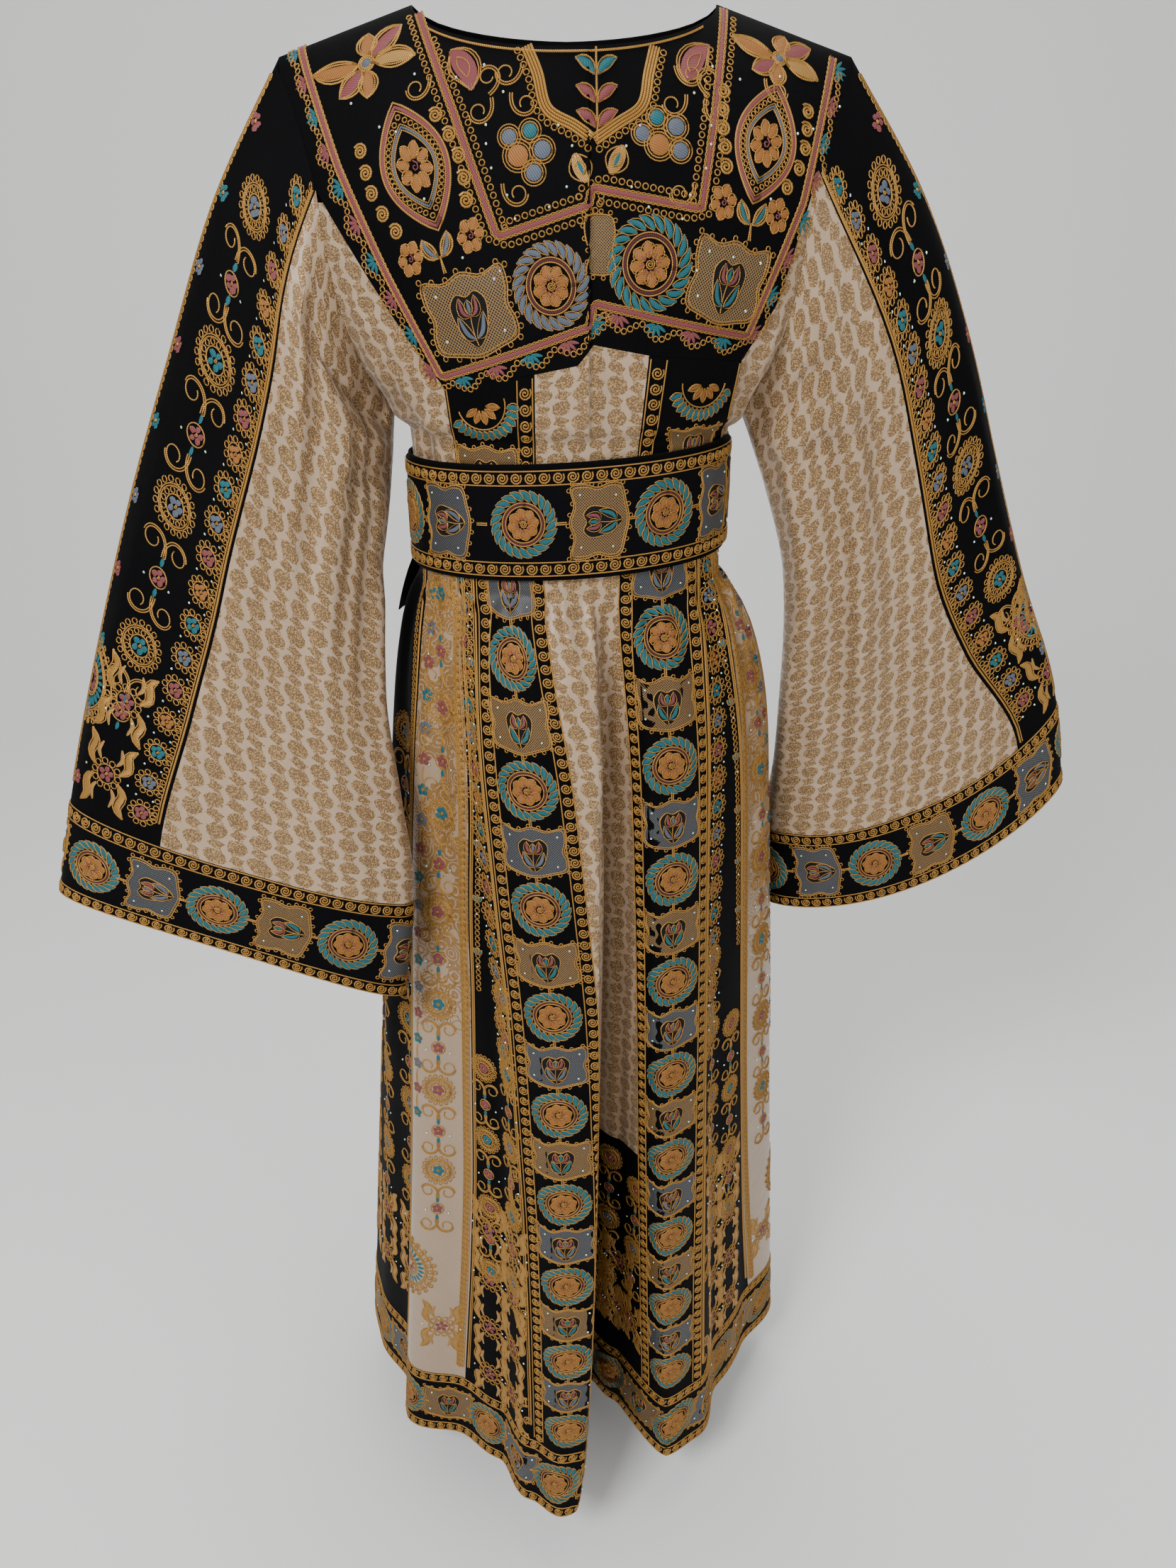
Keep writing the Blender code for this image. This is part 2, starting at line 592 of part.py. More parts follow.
def wall(name, points, normals, slot, edges="", closed=False, thick=WALL, lift=0.0):
    """Make one cloth wall from a grid of outer points. A closed grid runs all the way round."""
    outer = part_edges(points + normals * lift, edges)
    inner = outer - normals * thick
    rows, columns = outer.shape[:2]
    count = rows * columns
    vertices = np.concatenate((outer.reshape(-1, 3), inner.reshape(-1, 3)))
    faces = []
    spans = columns if closed else columns - 1
    for row in range(rows - 1):
        for column in range(spans):
            a = row * columns + column
            b = row * columns + (column + 1) % columns
            faces.append((a, b, b + columns, a + columns))
            faces.append((a + count, a + columns + count, b + columns + count, b + count))
    for row in (0, rows - 1):
        for column in range(spans):
            a = row * columns + column
            b = row * columns + (column + 1) % columns
            faces.append((a, a + count, b + count, b))
    if not closed:
        for column in (0, columns - 1):
            for row in range(rows - 1):
                a = row * columns + column
                faces.append((a, a + columns, a + columns + count, a + count))
    mesh = bpy.data.meshes.new(name)
    mesh.from_pydata(vertices.tolist(), [], faces)
    shape = bmesh.new()
    shape.from_mesh(mesh)
    bmesh.ops.triangulate(shape, faces=shape.faces[:])
    bmesh.ops.recalc_face_normals(shape, faces=shape.faces[:])
    shape.to_mesh(mesh)
    shape.free()
    mesh.shade_smooth()
    mesh.set_sharp_from_angle(angle=math.radians(50))
    mesh.materials.append(material(slot))
    piece = bpy.data.objects.new(name, mesh)
    collection().objects.link(piece)
    return piece


def collection():
    name = "thobe"
    if name not in bpy.data.collections:
        group = bpy.data.collections.new(name)
        bpy.context.scene.collection.children.link(group)
    return bpy.data.collections[name]


def material(slot):
    if slot not in bpy.data.materials:
        made = bpy.data.materials.new(slot)
        made.use_nodes = True
        shader = made.node_tree.nodes["Principled BSDF"]
        shader.inputs["Base Color"].default_value = COLOURS[slot]
        shader.inputs["Roughness"].default_value = ROUGHNESS[slot]
        shader.inputs["Metallic"].default_value = 0.0
    return bpy.data.materials[slot]


def yoke_columns():
    """Where each column of the yoke ends: along the armholes, the slanting edges and the lower edge."""
    ends = []
    for hand, sign in (("left", -1), ("right", 1)):
        edge = YOKE_EDGE[hand]
        for z in ARMHOLE_TOP_STEPS[1:]:
            ends.append((sign * float(ARMHOLE.at("reach", z)), z))
        for z in ARMHOLE_LOW_STEPS[hand]:
            if z >= edge.key[0]:
                ends.append((sign * float(edge.line("reach", z)), z))
    for _, _, columns in BODICE_COLUMNS:
        ends += [(x, float(YOKE_FOOT.line("z", x))) for x in columns[1:]]
    ends = np.array(sorted(ends))
    return ends[np.concatenate(([True], np.diff(ends[:, 0]) > 0.001))]


def make_yoke():
    """The front yoke: columns from armhole to armhole, between the top edge and the lower edge."""
    ends = yoke_columns()
    x = ends[:, 0]
    top = bodice_top(-1, x)
    share = (np.linspace(0, 1, YOKE_ROWS + 1) ** 1.5)[:, None]
    z = top + (ends[:, 1] - top) * share
    points, normals = bodice_panel(-1, np.broadcast_to(x, z.shape), z)
    points[0, np.abs(x) > NECK_HALF, 1] = -SEAM / 2
    for hand, sign in (("left", -1), ("right", 1)):
        body, _ = armhole_mitre(hand)
        for step, level in enumerate(armhole_steps(hand)[:len(ARMHOLE_TOP_STEPS) + 1]):
            column = int(np.argmin(np.hypot(x - sign * float(ARMHOLE.at("reach", level)), ends[:, 1] - level)))
            if step:
                normals[-1, column] = body[step]
    wall("yoke_front", points, normals, "black_crepe", "bottom first last")


def band_levels(hand):
    """Heights of the rows below the yoke on one side, from its lower corner to the waist seam."""
    steps = np.array(ARMHOLE_LOW_STEPS[hand] + SIDE_STEPS)
    return steps[steps <= YOKE_EDGE[hand].key[0] + 1e-6]


def make_bodice_lower():
    """The bands and the cream middle between the yoke and the waist seam."""
    left, right = band_levels("left"), band_levels("right")
    ends = {
        "bodice_band_left": (left, left),
        "bodice_centre": (left, right),
        "bodice_band_right": (right, right),
    }
    for name, slot, tops in BODICE_COLUMNS:
        tops = np.array(tops)
        place = np.interp(tops, BODICE_BANDS.columns["yoke"], BODICE_BANDS.key)
        feet = np.interp(place, BODICE_BANDS.key, BODICE_BANDS.columns["waist"])
        if name == "bodice_centre":
            feet = np.where(np.abs(tops - TUCK_X) < 0.012, tops, feet)
        across = (tops - tops[0]) / (tops[-1] - tops[0])
        start, end = ends[name]
        level = start[:, None] + (end - start)[:, None] * across
        top = YOKE_FOOT.line("z", tops)
        fade = np.clip((level - UNDERARM_Z) / (level[0] - UNDERARM_Z), 0, 1)
        z = level + (top - level[0]) * fade
        x = tops + (feet - tops) * (top - z) / (top - WAIST_Z)
        points, normals = bodice_panel(-1, x, z)
        wall(name, points, normals, slot, "top bottom first last")


def make_bodice_sides():
    """The cream sides under the arms, from the yoke's slanting edge to the side seam."""
    for hand, sign in (("left", -1), ("right", 1)):
        edge = YOKE_EDGE[hand]
        steps = np.array(ARMHOLE_LOW_STEPS[hand][1:] + SIDE_STEPS)
        corner = edge.key[0]
        place = 0 if hand == "left" else 3
        reach = abs(BODICE_BANDS.columns["yoke"][place])
        waist = abs(BODICE_BANDS.columns["waist"][place])
        lower = reach + (waist - reach) * (corner - steps) / (corner - WAIST_Z)
        near = np.where(steps >= corner, edge.line("reach", steps), lower)
        far = np.where(steps >= UNDERARM_Z, ARMHOLE.at("reach", steps), BODICE.at("half", steps))
        far[steps <= UNDERARM_Z] = BODICE.at("half", steps[steps <= UNDERARM_Z])
        start = bodice_angle(near, steps)
        end = bodice_angle(far, steps)
        share = np.linspace(0, 1, 7)
        angle = start[:, None] + (end - start)[:, None] * share
        z = np.broadcast_to(steps[:, None], angle.shape)
        x = sign * BODICE.at("half", z) * np.sin(angle)
        points, normals = bodice_panel(-1, x, z)
        beyond = steps <= UNDERARM_Z
        points[beyond, -1, 1] = 0.0
        normals[beyond, -1] = (sign, 0, 0)
        body, _ = armhole_mitre(hand)
        rows = len(ARMHOLE_LOW_STEPS[hand]) - 1
        first = len(ARMHOLE_TOP_STEPS) + 1
        normals[:rows, -1] = body[first:first + rows]
        wall("bodice_side_" + hand, points, normals, "cream_brocade", "top bottom first last")


def make_bodice_back():
    """The back in one piece, from the shoulder seams and the back neckline to the waist seam."""
    edges = {hand: np.concatenate((armhole_steps(hand), SIDE_STEPS)) for hand in ("left", "right")}
    reach = {}
    for hand, z in edges.items():
        z[0] = ridge_z(SHOULDER_HALF)
        reach[hand] = np.where(z > UNDERARM_Z, ARMHOLE.at("reach", z), BODICE.at("half", z))
    spots = np.array((-1, -0.90, -0.76, -0.62, -0.54, -0.50, -0.36, -0.18, 0))
    spots = np.concatenate((spots, -spots[-2::-1]))
    rows = len(edges["left"])
    fade = np.clip(1 - np.arange(rows) / 9.0, 0, 1)
    x = np.empty((rows, len(spots)))
    z = np.empty_like(x)
    for row in range(rows):
        left, right = reach["left"][row], reach["right"][row]
        part = (spots + 1) / 2
        turn_left = -bodice_angle(left, edges["left"][row])
        turn_right = bodice_angle(right, edges["right"][row])
        level = edges["left"][row] + (edges["right"][row] - edges["left"][row]) * part
        wide = -left + (left + right) * part
        turned = BODICE.at("half", level) * np.sin(turn_left + (turn_right - turn_left) * part)
        x[row] = wide * fade[row] + turned * (1 - fade[row])
        rise = bodice_top(1, wide) - ridge_z(SHOULDER_HALF)
        z[row] = level + rise * fade[row]
    z[0] = bodice_top(1, x[0])
    points, normals = bodice_panel(1, x, z)
    ridge = np.abs(x[0]) > NECK_HALF
    points[0, ridge, 1] = SEAM / 2
    beyond = edges["left"] <= UNDERARM_Z
    for column, hand, sign in ((0, "left", -1), (-1, "right", 1)):
        points[beyond, column, 1] = 0.0
        normals[beyond, column] = (sign, 0, 0)
        body, _ = armhole_mitre(hand)
        half = len(armhole_steps(hand))
        normals[:half, column] = np.concatenate((body[:1], body[:half - 1:-1], body[half - 1:half]))
    wall("bodice_back", points, normals, "black_crepe", "bottom first last")


def skirt_grid():
    """Rows all round the skirt, with the columns of every panel in order, and level normals."""
    rows = []
    for z in SKIRT_ROWS + HEM_ROWS[1:]:
        places, lengths, angle = skirt_seams(z)
        row = []
        for seam, (_, count, _) in enumerate(SKIRT_PANELS):
            spots = np.linspace(places[seam], places[seam + 1], count + 1)
            row.append(np.interp(spots, lengths, angle)[:-1])
        row.append(back_columns(z, BACK_COLUMNS)[:-1])
        rows.append(skirt(np.concatenate(row), z))
    points = np.array(rows)
    ahead = unit(np.roll(points, -1, axis=1) - points)
    around = ahead + np.roll(ahead, 1, axis=1)
    normals = unit(np.stack((around[..., 1], -around[..., 0], np.zeros(points.shape[:2])), axis=-1))
    return points, normals


def make_skirt():
    """Nine front panels, the black foot of the middle panel, the back, and the band round the hem."""
    points, normals = skirt_grid()
    total = points.shape[1]
    body = len(SKIRT_ROWS)
    foot = SKIRT_ROWS.index(CENTRE_END_Z)
    edges = "top bottom first last"
    start = 0
    for name, count, slot in SKIRT_PANELS + (("skirt_back", BACK_COLUMNS, "black_crepe"),):
        columns = [column % total for column in range(start, start + count + 1)]
        start += count
        panel, facing = points[:body, columns], normals[:body, columns]
        if name == "skirt_centre":
            wall(name, panel[:foot + 1], facing[:foot + 1], slot, edges)
            wall("skirt_centre_foot", panel[foot:], facing[foot:], "black_crepe", edges)
        else:
            wall(name, panel, facing, slot, edges)
    wall("hem_band", points[body - 1:], normals[body - 1:], "embroidered_band", "top", closed=True)


def make_sleeves():
    """On each arm, a black panel over the top, a cream panel under it, and a band round the cuff."""
    tops = len(ARMHOLE_TOP_STEPS)
    for hand in ("left", "right"):
        rings, normals = sleeve_grid(hand, SLEEVE_ROWS)
        _, normals[0] = armhole_mitre(hand)
        total = rings.shape[1]
        over = [i % total for i in range(-tops, tops + 1)]
        under = list(range(tops, total - tops + 1))
        edges = "top bottom first last"
        wall("sleeve_top_" + hand, rings[:, over], normals[:, over], "black_crepe", edges)
        wall("sleeve_under_" + hand, rings[:, under], normals[:, under], "cream_brocade", edges)
        rings, normals = sleeve_grid(hand, CUFF_ROWS)
        wall("cuff_" + hand, rings, normals, "embroidered_band", "top", closed=True)


def belt_grid(angles, rows, lift):
    """Rows of the belt, whose plane falls towards the left."""
    turn = np.radians(angles)
    half = WAIST_HALF + BELT_CLEARANCE + lift
    deep = np.where(np.cos(turn) > 0, WAIST_FRONT, WAIST_BACK) + BELT_CLEARANCE + lift
    x = half * np.sin(turn)
    y = -deep * np.cos(turn)
    normals = unit(np.stack((np.sin(turn) / half, -np.cos(turn) / deep, np.zeros(len(turn))), axis=-1))
    points = [np.stack((x, y, BELT_Z + BELT_SLOPE * x + up), axis=-1) for up in rows]
    return np.array(points), np.array([normals] * len(rows))


def make_belt():
    """A velvet belt, and the embroidered ribbon on its front."""
    edge = BELT_HEIGHT / 2
    angles = np.arange(-180, 180, BELT_STEP)
    points, normals = belt_grid(angles, (edge, 0, -edge), BELT_WALL)
    wall("belt_velvet", points, normals, "black_velvet", closed=True, thick=BELT_WALL)
    edge = RIBBON_HEIGHT / 2
    angles = np.arange(-RIBBON_REACH, RIBBON_REACH + 1, BELT_STEP)
    over = BELT_WALL + SEAM + RIBBON_WALL
    points, normals = belt_grid(angles, (edge, 0, -edge), over)
    wall("belt_ribbon", points, normals, "embroidered_band", thick=RIBBON_WALL)


def make_tails():
    """The belt's loose ends: they leave a knot on the left and hang over the skirt."""
    wave = TAIL_WAVE * (1 - np.cos(np.linspace(0, 2 * math.pi, TAIL_COLUMNS)))
    belt_out = WAIST_EASE + BELT_CLEARANCE + BELT_WALL + SEAM + WALL + TAIL_CLEARANCE
    for name, first, last, low in BELT_TAILS:
        rows = []
        for z in np.linspace(TAIL_TOP_Z, low, TAIL_ROWS):
            fan = 0.55 + 0.45 * ease((BELT_Z - z) / 0.08)
            angles = (first + last) / 2 + np.linspace(-1, 1, TAIL_COLUMNS) * fan * (last - first) / 2
            below = min(z - 0.018, FLARE_Z)
            skirt_out = np.max(fold_reach(angles, below) - waist_reach(angles, below)) + TAIL_CLEARANCE
            reach = waist_reach(angles, FLARE_Z) + max(skirt_out + WALL, belt_out) + wave
            turn = np.radians(angles)
            level = np.full(TAIL_COLUMNS, z)
            rows.append(np.stack((reach * np.sin(turn), -reach * np.cos(turn), level), axis=-1))
        points = np.array(rows)
        along = np.gradient(points, axis=1)
        normals = unit(np.stack((-along[..., 1], along[..., 0], np.zeros(along.shape[:2])), axis=-1))
        wall(name, points, normals, "black_velvet")


def make_knot():
    """A small closed knot of velvet, lying on the belt over the tops of its tails."""
    places, facing = belt_grid(np.array([KNOT_ANGLE]), (-KNOT_DROP,), BELT_WALL + KNOT_SIZE[0] + KNOT_GAP)
    bpy.ops.mesh.primitive_uv_sphere_add(segments=16, ring_count=9, radius=1.0)
    knot = bpy.context.active_object
    knot.name = "belt_knot"
    knot.data.name = "belt_knot"
    deep, wide, tall = KNOT_SIZE
    for vertex in knot.data.vertices:
        pinch = 1 + 0.10 * math.cos(3 * math.atan2(vertex.co.z, vertex.co.y))
        vertex.co = (vertex.co.x * deep, vertex.co.y * wide * pinch, vertex.co.z * tall * pinch)
    knot.rotation_euler = (0, 0, math.atan2(facing[0][0][1], facing[0][0][0]))
    knot.location = places[0][0]
    for group in list(knot.users_collection):
        group.objects.unlink(knot)
    collection().objects.link(knot)
    knot.data.materials.append(material("black_velvet"))
    knot.data.shade_smooth()


clear_scene()
make_yoke()
make_bodice_lower()
make_bodice_sides()
make_bodice_back()
make_skirt()
make_sleeves()
make_belt()
make_tails()
make_knot()
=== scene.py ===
"""The embroidered thobe's looks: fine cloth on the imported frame, its needlework, belt, light and camera.

Metres, +Z up, front towards -Y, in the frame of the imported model. The first half repeats the surface of the
model at a finer step and adds the smaller folds. The second half sews on it: every cord, petal, loop and
spiral is laid out flat in metres, then carried onto the cloth.
"""
import math

import bmesh
import bpy
import numpy as np
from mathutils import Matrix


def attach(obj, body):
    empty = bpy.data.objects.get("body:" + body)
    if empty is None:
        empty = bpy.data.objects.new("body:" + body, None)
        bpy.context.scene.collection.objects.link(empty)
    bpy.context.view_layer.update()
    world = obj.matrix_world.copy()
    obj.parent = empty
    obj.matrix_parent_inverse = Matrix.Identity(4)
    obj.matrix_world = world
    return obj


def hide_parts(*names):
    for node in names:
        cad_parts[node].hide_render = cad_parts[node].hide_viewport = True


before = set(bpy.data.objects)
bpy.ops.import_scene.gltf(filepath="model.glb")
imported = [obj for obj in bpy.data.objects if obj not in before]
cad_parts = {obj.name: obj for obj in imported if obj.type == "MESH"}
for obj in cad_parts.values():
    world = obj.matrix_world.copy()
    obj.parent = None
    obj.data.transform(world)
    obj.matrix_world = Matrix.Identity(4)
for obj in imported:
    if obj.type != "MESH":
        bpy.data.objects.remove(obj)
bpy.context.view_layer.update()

# Driving sizes
WALL = 0.0015
SEAM = 0.0002
NECK_HALF = 0.1175
NECK_DIP_FRONT = 0.036
NECK_DIP_BACK = 0.018
SHOULDER_SLOPE = 0.324
SHOULDER_ROLL = 0.130
SHOULDER_HALF = 0.2262
UNDERARM_Z = -0.305
WAIST_Z = -0.405
WAIST_HALF = 0.1405
WAIST_FRONT = 0.1050
WAIST_BACK = 0.0890
WAIST_EASE = 0.001
CENTRE_END_Z = -1.050
HEM_BAND_Z = -1.377
HEM_Z = -1.470
BELT_Z = -0.379
BELT_HEIGHT = 0.098
BELT_SLOPE = 0.055
BELT_CLEARANCE = 0.0008
BELT_WALL = 0.0025
RIBBON_HEIGHT = 0.090
RIBBON_WALL = 0.0018
RIBBON_REACH = 97.5
BELT_STEP = 7.5
KNOT_SIZE = (0.0095, 0.021, 0.019)
KNOT_ANGLE = -115.5
KNOT_DROP = 0.004
KNOT_GAP = 0.0005
TAIL_TOP_Z = BELT_Z - 0.034
TAIL_WAVE = 0.0012
TAIL_CLEARANCE = 0.0010
TUCK_X = 0.0185
TUCK_HEIGHT = 0.0045
TUCK_REACH = 0.022
TUCK_TOP = 0.050
GATHER_COUNT = 26
GATHER_HEIGHT = 0.0030
FLARE_Z = -0.445
PUFF_FALL = 0.05
FINER = 3
ROWS_FINER = 4
SIDE_SEAM_ANGLE = 106.0
SKIRT_BACKWARD = 0.030


def smooth(keys, values, at):
    """Read a table column at any key, on a curve that never overshoots its rows."""
    keys = np.asarray(keys, float)
    values = np.asarray(values, float)
    at = np.clip(np.asarray(at, float), keys[0], keys[-1])
    step = np.diff(keys)
    rise = np.diff(values) / step
    slope = np.zeros(len(keys))
    slope[0], slope[-1] = rise[0], rise[-1]
    same = rise[:-1] * rise[1:] > 0
    total = np.where(same, rise[:-1] + rise[1:], 1.0)
    slope[1:-1] = np.where(same, 2 * rise[:-1] * rise[1:] / total, 0.0)
    i = np.clip(np.searchsorted(keys, at, side="right") - 1, 0, len(step) - 1)
    f = (at - keys[i]) / step[i]
    start = (1 + 2 * f) * (1 - f) ** 2 * values[i] + f * (1 - f) ** 2 * step[i] * slope[i]
    end = f * f * (3 - 2 * f) * values[i + 1] - f * f * (1 - f) * step[i] * slope[i + 1]
    return start + end


def finer(steps, times=FINER):
    """Divide each step of a list into several equal ones."""
    steps = np.asarray(steps, float)
    places = np.arange((len(steps) - 1) * times + 1) / times
    return np.interp(places, np.arange(len(steps)), steps)


class Table:
    """Rows of named columns. The first column is the key, in either direction."""

    def __init__(self, names, rows):
        rows = np.array(sorted(rows), float)
        self.columns = dict(zip(names.split(), rows.T))
        self.key = rows[:, 0]

    def at(self, name, key):
        """A smooth value of one column."""
        return smooth(self.key, self.columns[name], key)

    def line(self, name, key):
        """A value of one column, straight between its rows."""
        return np.interp(key, self.key, self.columns[name])


# Level sections of the bodice: an ellipse with its own front and back depth
BODICE = Table("z half front back", (
    (0.040, 0.235, 0.075, 0.068),
    (-0.060, 0.235, 0.092, 0.085),
    (-0.130, 0.235, 0.108, 0.096),
    (-0.200, 0.217, 0.120, 0.098),
    (-0.260, 0.183, 0.119, 0.094),
    (-0.290, 0.161, 0.115, 0.092),
    (-0.305, 0.154, 0.112, 0.091),
    (-0.316, WAIST_HALF, WAIST_FRONT, WAIST_BACK),
    (-0.380, WAIST_HALF - 2 * WAIST_EASE, WAIST_FRONT - 2 * WAIST_EASE, WAIST_BACK - 2 * WAIST_EASE),
    (-0.445, WAIST_HALF - WAIST_EASE, WAIST_FRONT - WAIST_EASE, WAIST_BACK - WAIST_EASE),
))

# The armhole seam, as seen from the front
ARMHOLE = Table("z reach", (
    (-0.030, 0.2262),
    (-0.042, 0.2262),
    (-0.060, 0.2175),
    (-0.100, 0.2030),
    (-0.130, 0.1945),
    (-0.200, 0.1870),
    (-0.260, 0.1730),
    (-0.290, 0.1595),
    (-0.305, 0.1540),
))
ARMHOLE_TOP_STEPS = (-0.0343, -0.043, -0.060, -0.080, -0.102)
ARMHOLE_LOW_STEPS = {
    "left": (-0.130, -0.156, -0.183, -0.210, -0.2375, -0.249, -0.272, -0.284, -0.295, -0.305),
    "right": (-0.116, -0.142, -0.172, -0.198, -0.222, -0.240, -0.254, -0.274, -0.292, -0.305),
}
SIDE_STEPS = (-0.316, -0.345, -0.375, WAIST_Z)
TOP_COUNT = len(ARMHOLE_TOP_STEPS) * FINER
LOW_COUNT = (len(ARMHOLE_LOW_STEPS["left"]) - 1) * FINER

# Slanting edge of the yoke, from the armhole down to the yoke's lower corner
YOKE_EDGE = {
    "left": Table("z reach", (
        (-0.130, float(ARMHOLE.at("reach", -0.130))),
        (-0.2375, 0.1250),
        (-0.272, 0.0980),
    )),
    "right": Table("z reach", (
        (-0.116, float(ARMHOLE.at("reach", -0.116))),
        (-0.160, 0.1845),
        (-0.211, 0.1700),
        (-0.240, 0.1520),
        (-0.254, 0.1430),
    )),
}

# Lower edge of the yoke, with the step where the middle fold laps
YOKE_FOOT = Table("x z", (
    (-0.098, -0.272),
    (-0.024, -0.260),
    (0.010, -0.253),
    (0.0225, -0.238),
    (0.066, -0.2465),
    (0.143, -0.254),
))
BODICE_COLUMNS = (
    # name, slot, columns along the yoke's lower edge
    ("bodice_band_left", "black_crepe", (-0.098, -0.075, -0.050, -0.024)),
    ("bodice_centre", "cream_brocade", (-0.024, 0.000, 0.010, TUCK_X, 0.0225, 0.038, 0.066)),
    ("bodice_band_right", "black_crepe", (0.066, 0.088, 0.111, 0.118, 0.125, 0.143)),
)
YOKE_ROWS = 8

# Edges of the two bodice bands, at the yoke and at the waist seam
BODICE_BANDS = Table("place yoke waist", (
    (0, -0.098, -0.088),
    (1, -0.024, -0.026),
    (2, 0.066, 0.052),
    (3, 0.143, 0.125),
))

# Folds of the skirt. Each has an angle from the front at belt and hem, how soon it swings from one to
# the other, the share of its flare that comes right under the belt, and its reach from the middle at the hem
SKIRT_FOLDS = (
    # at_belt, at_hem, swing, puff, reach
    (-98.0, -96.3, 3.0, 0.20, 0.2700),
    (-85.0, -77.8, 3.0, 0.20, 0.2560),
    (-75.0, -62.8, 3.0, 0.20, 0.2360),
    (-66.0, -49.7, 3.0, 0.20, 0.2595),
    (-56.0, -35.5, 3.0, 0.20, 0.2270),
    (-47.0, -22.0, 3.0, 0.20, 0.2330),
    (-37.0, -10.3, 3.0, 0.20, 0.2700),
    (-25.0, -2.4, 3.0, 0.20, 0.2860),
    (10.8, 0.6, 0.6, 0.20, 0.2820),
    (13.2, 2.8, 0.6, 0.18, 0.1960),
    (18.0, 10.3, 1.0, 0.15, 0.1120),
    (24.0, 19.4, 1.0, 0.18, 0.1470),
    (31.0, 27.7, 1.0, 0.22, 0.2407),
    (43.0, 38.2, 1.0, 0.26, 0.2406),
    (59.0, 56.5, 1.0, 0.34, 0.2150),
    (73.5, 73.5, 1.0, 0.40, 0.2240),
    (92.6, 92.6, 1.0, 0.40, 0.2640),
    (112.0, 112.0, 1.0, 0.32, 0.2350),
    (131.0, 131.0, 1.0, 0.25, 0.2620),
    (151.0, 151.0, 1.0, 0.22, 0.2250),
    (171.0, 171.0, 1.0, 0.22, 0.2600),
    (190.0, 190.0, 1.0, 0.22, 0.2260),
    (208.0, 208.0, 1.0, 0.22, 0.2580),
    (227.0, 227.0, 1.0, 0.20, 0.2320),
    (244.0, 246.0, 1.0, 0.20, 0.2580),
)

# Middle lines of the two skirt bands, as distances across the front
BAND_LINES = Table("z left right", (
    (-0.405, -0.052, 0.081),
    (-0.490, -0.047, 0.085),
    (-0.620, -0.035, 0.0950),
    (-0.730, -0.025, 0.0990),
    (-0.850, -0.0145, 0.1020),
    (-0.980, -0.0090, 0.1040),
    (-1.090, -0.0050, 0.1065),
    (-1.250, -0.0030, 0.1100),
    (-1.400, -0.0030, 0.1145),
    (-1.470, -0.0030, 0.1150),
))

# Widths of the skirt panels, measured along the cloth at each height
PANEL_WIDTHS = Table("z half_left half_right strip_left satin_left strip_right satin_right", (
    (-0.405, 0.0300, 0.0390, 0.018, 0.044, 0.028, 0.040),
    (-0.500, 0.0350, 0.0430, 0.022, 0.052, 0.042, 0.052),
    (-0.620, 0.0420, 0.0440, 0.031, 0.064, 0.058, 0.070),
    (-0.800, 0.0440, 0.0440, 0.056, 0.072, 0.074, 0.082),
    (-1.100, 0.0440, 0.0440, 0.086, 0.080, 0.108, 0.090),
    (-1.377, 0.0440, 0.0440, 0.118, 0.085, 0.152, 0.092),
))

SKIRT_PANELS = (
    # name, columns, slot, in order from the left side seam round the front
    ("skirt_side_left", 6, "black_crepe"),
    ("skirt_satin_left", 6, "cream_satin"),
    ("skirt_strip_left", 7, "black_crepe"),
    ("skirt_band_left", 6, "black_crepe"),
    ("skirt_centre", 9, "cream_brocade"),
    ("skirt_band_right", 6, "black_crepe"),
    ("skirt_strip_right", 8, "black_crepe"),
    ("skirt_satin_right", 6, "cream_satin"),
    ("skirt_side_right", 3, "black_crepe"),
)
BACK_COLUMNS = 23

SKIRT_ROWS = (
    WAIST_Z, -0.425, -0.445, -0.465, -0.495, -0.535, -0.585, -0.645, -0.715, -0.785,
    -0.855, -0.925, -0.990, CENTRE_END_Z, -1.110, -1.175, -1.240, -1.310, HEM_BAND_Z,
)
HEM_ROWS = (HEM_BAND_Z, -1.424, HEM_Z)
SKIRT_LEVELS = finer(SKIRT_ROWS, ROWS_FINER)
HEM_LEVELS = finer(HEM_ROWS, ROWS_FINER)

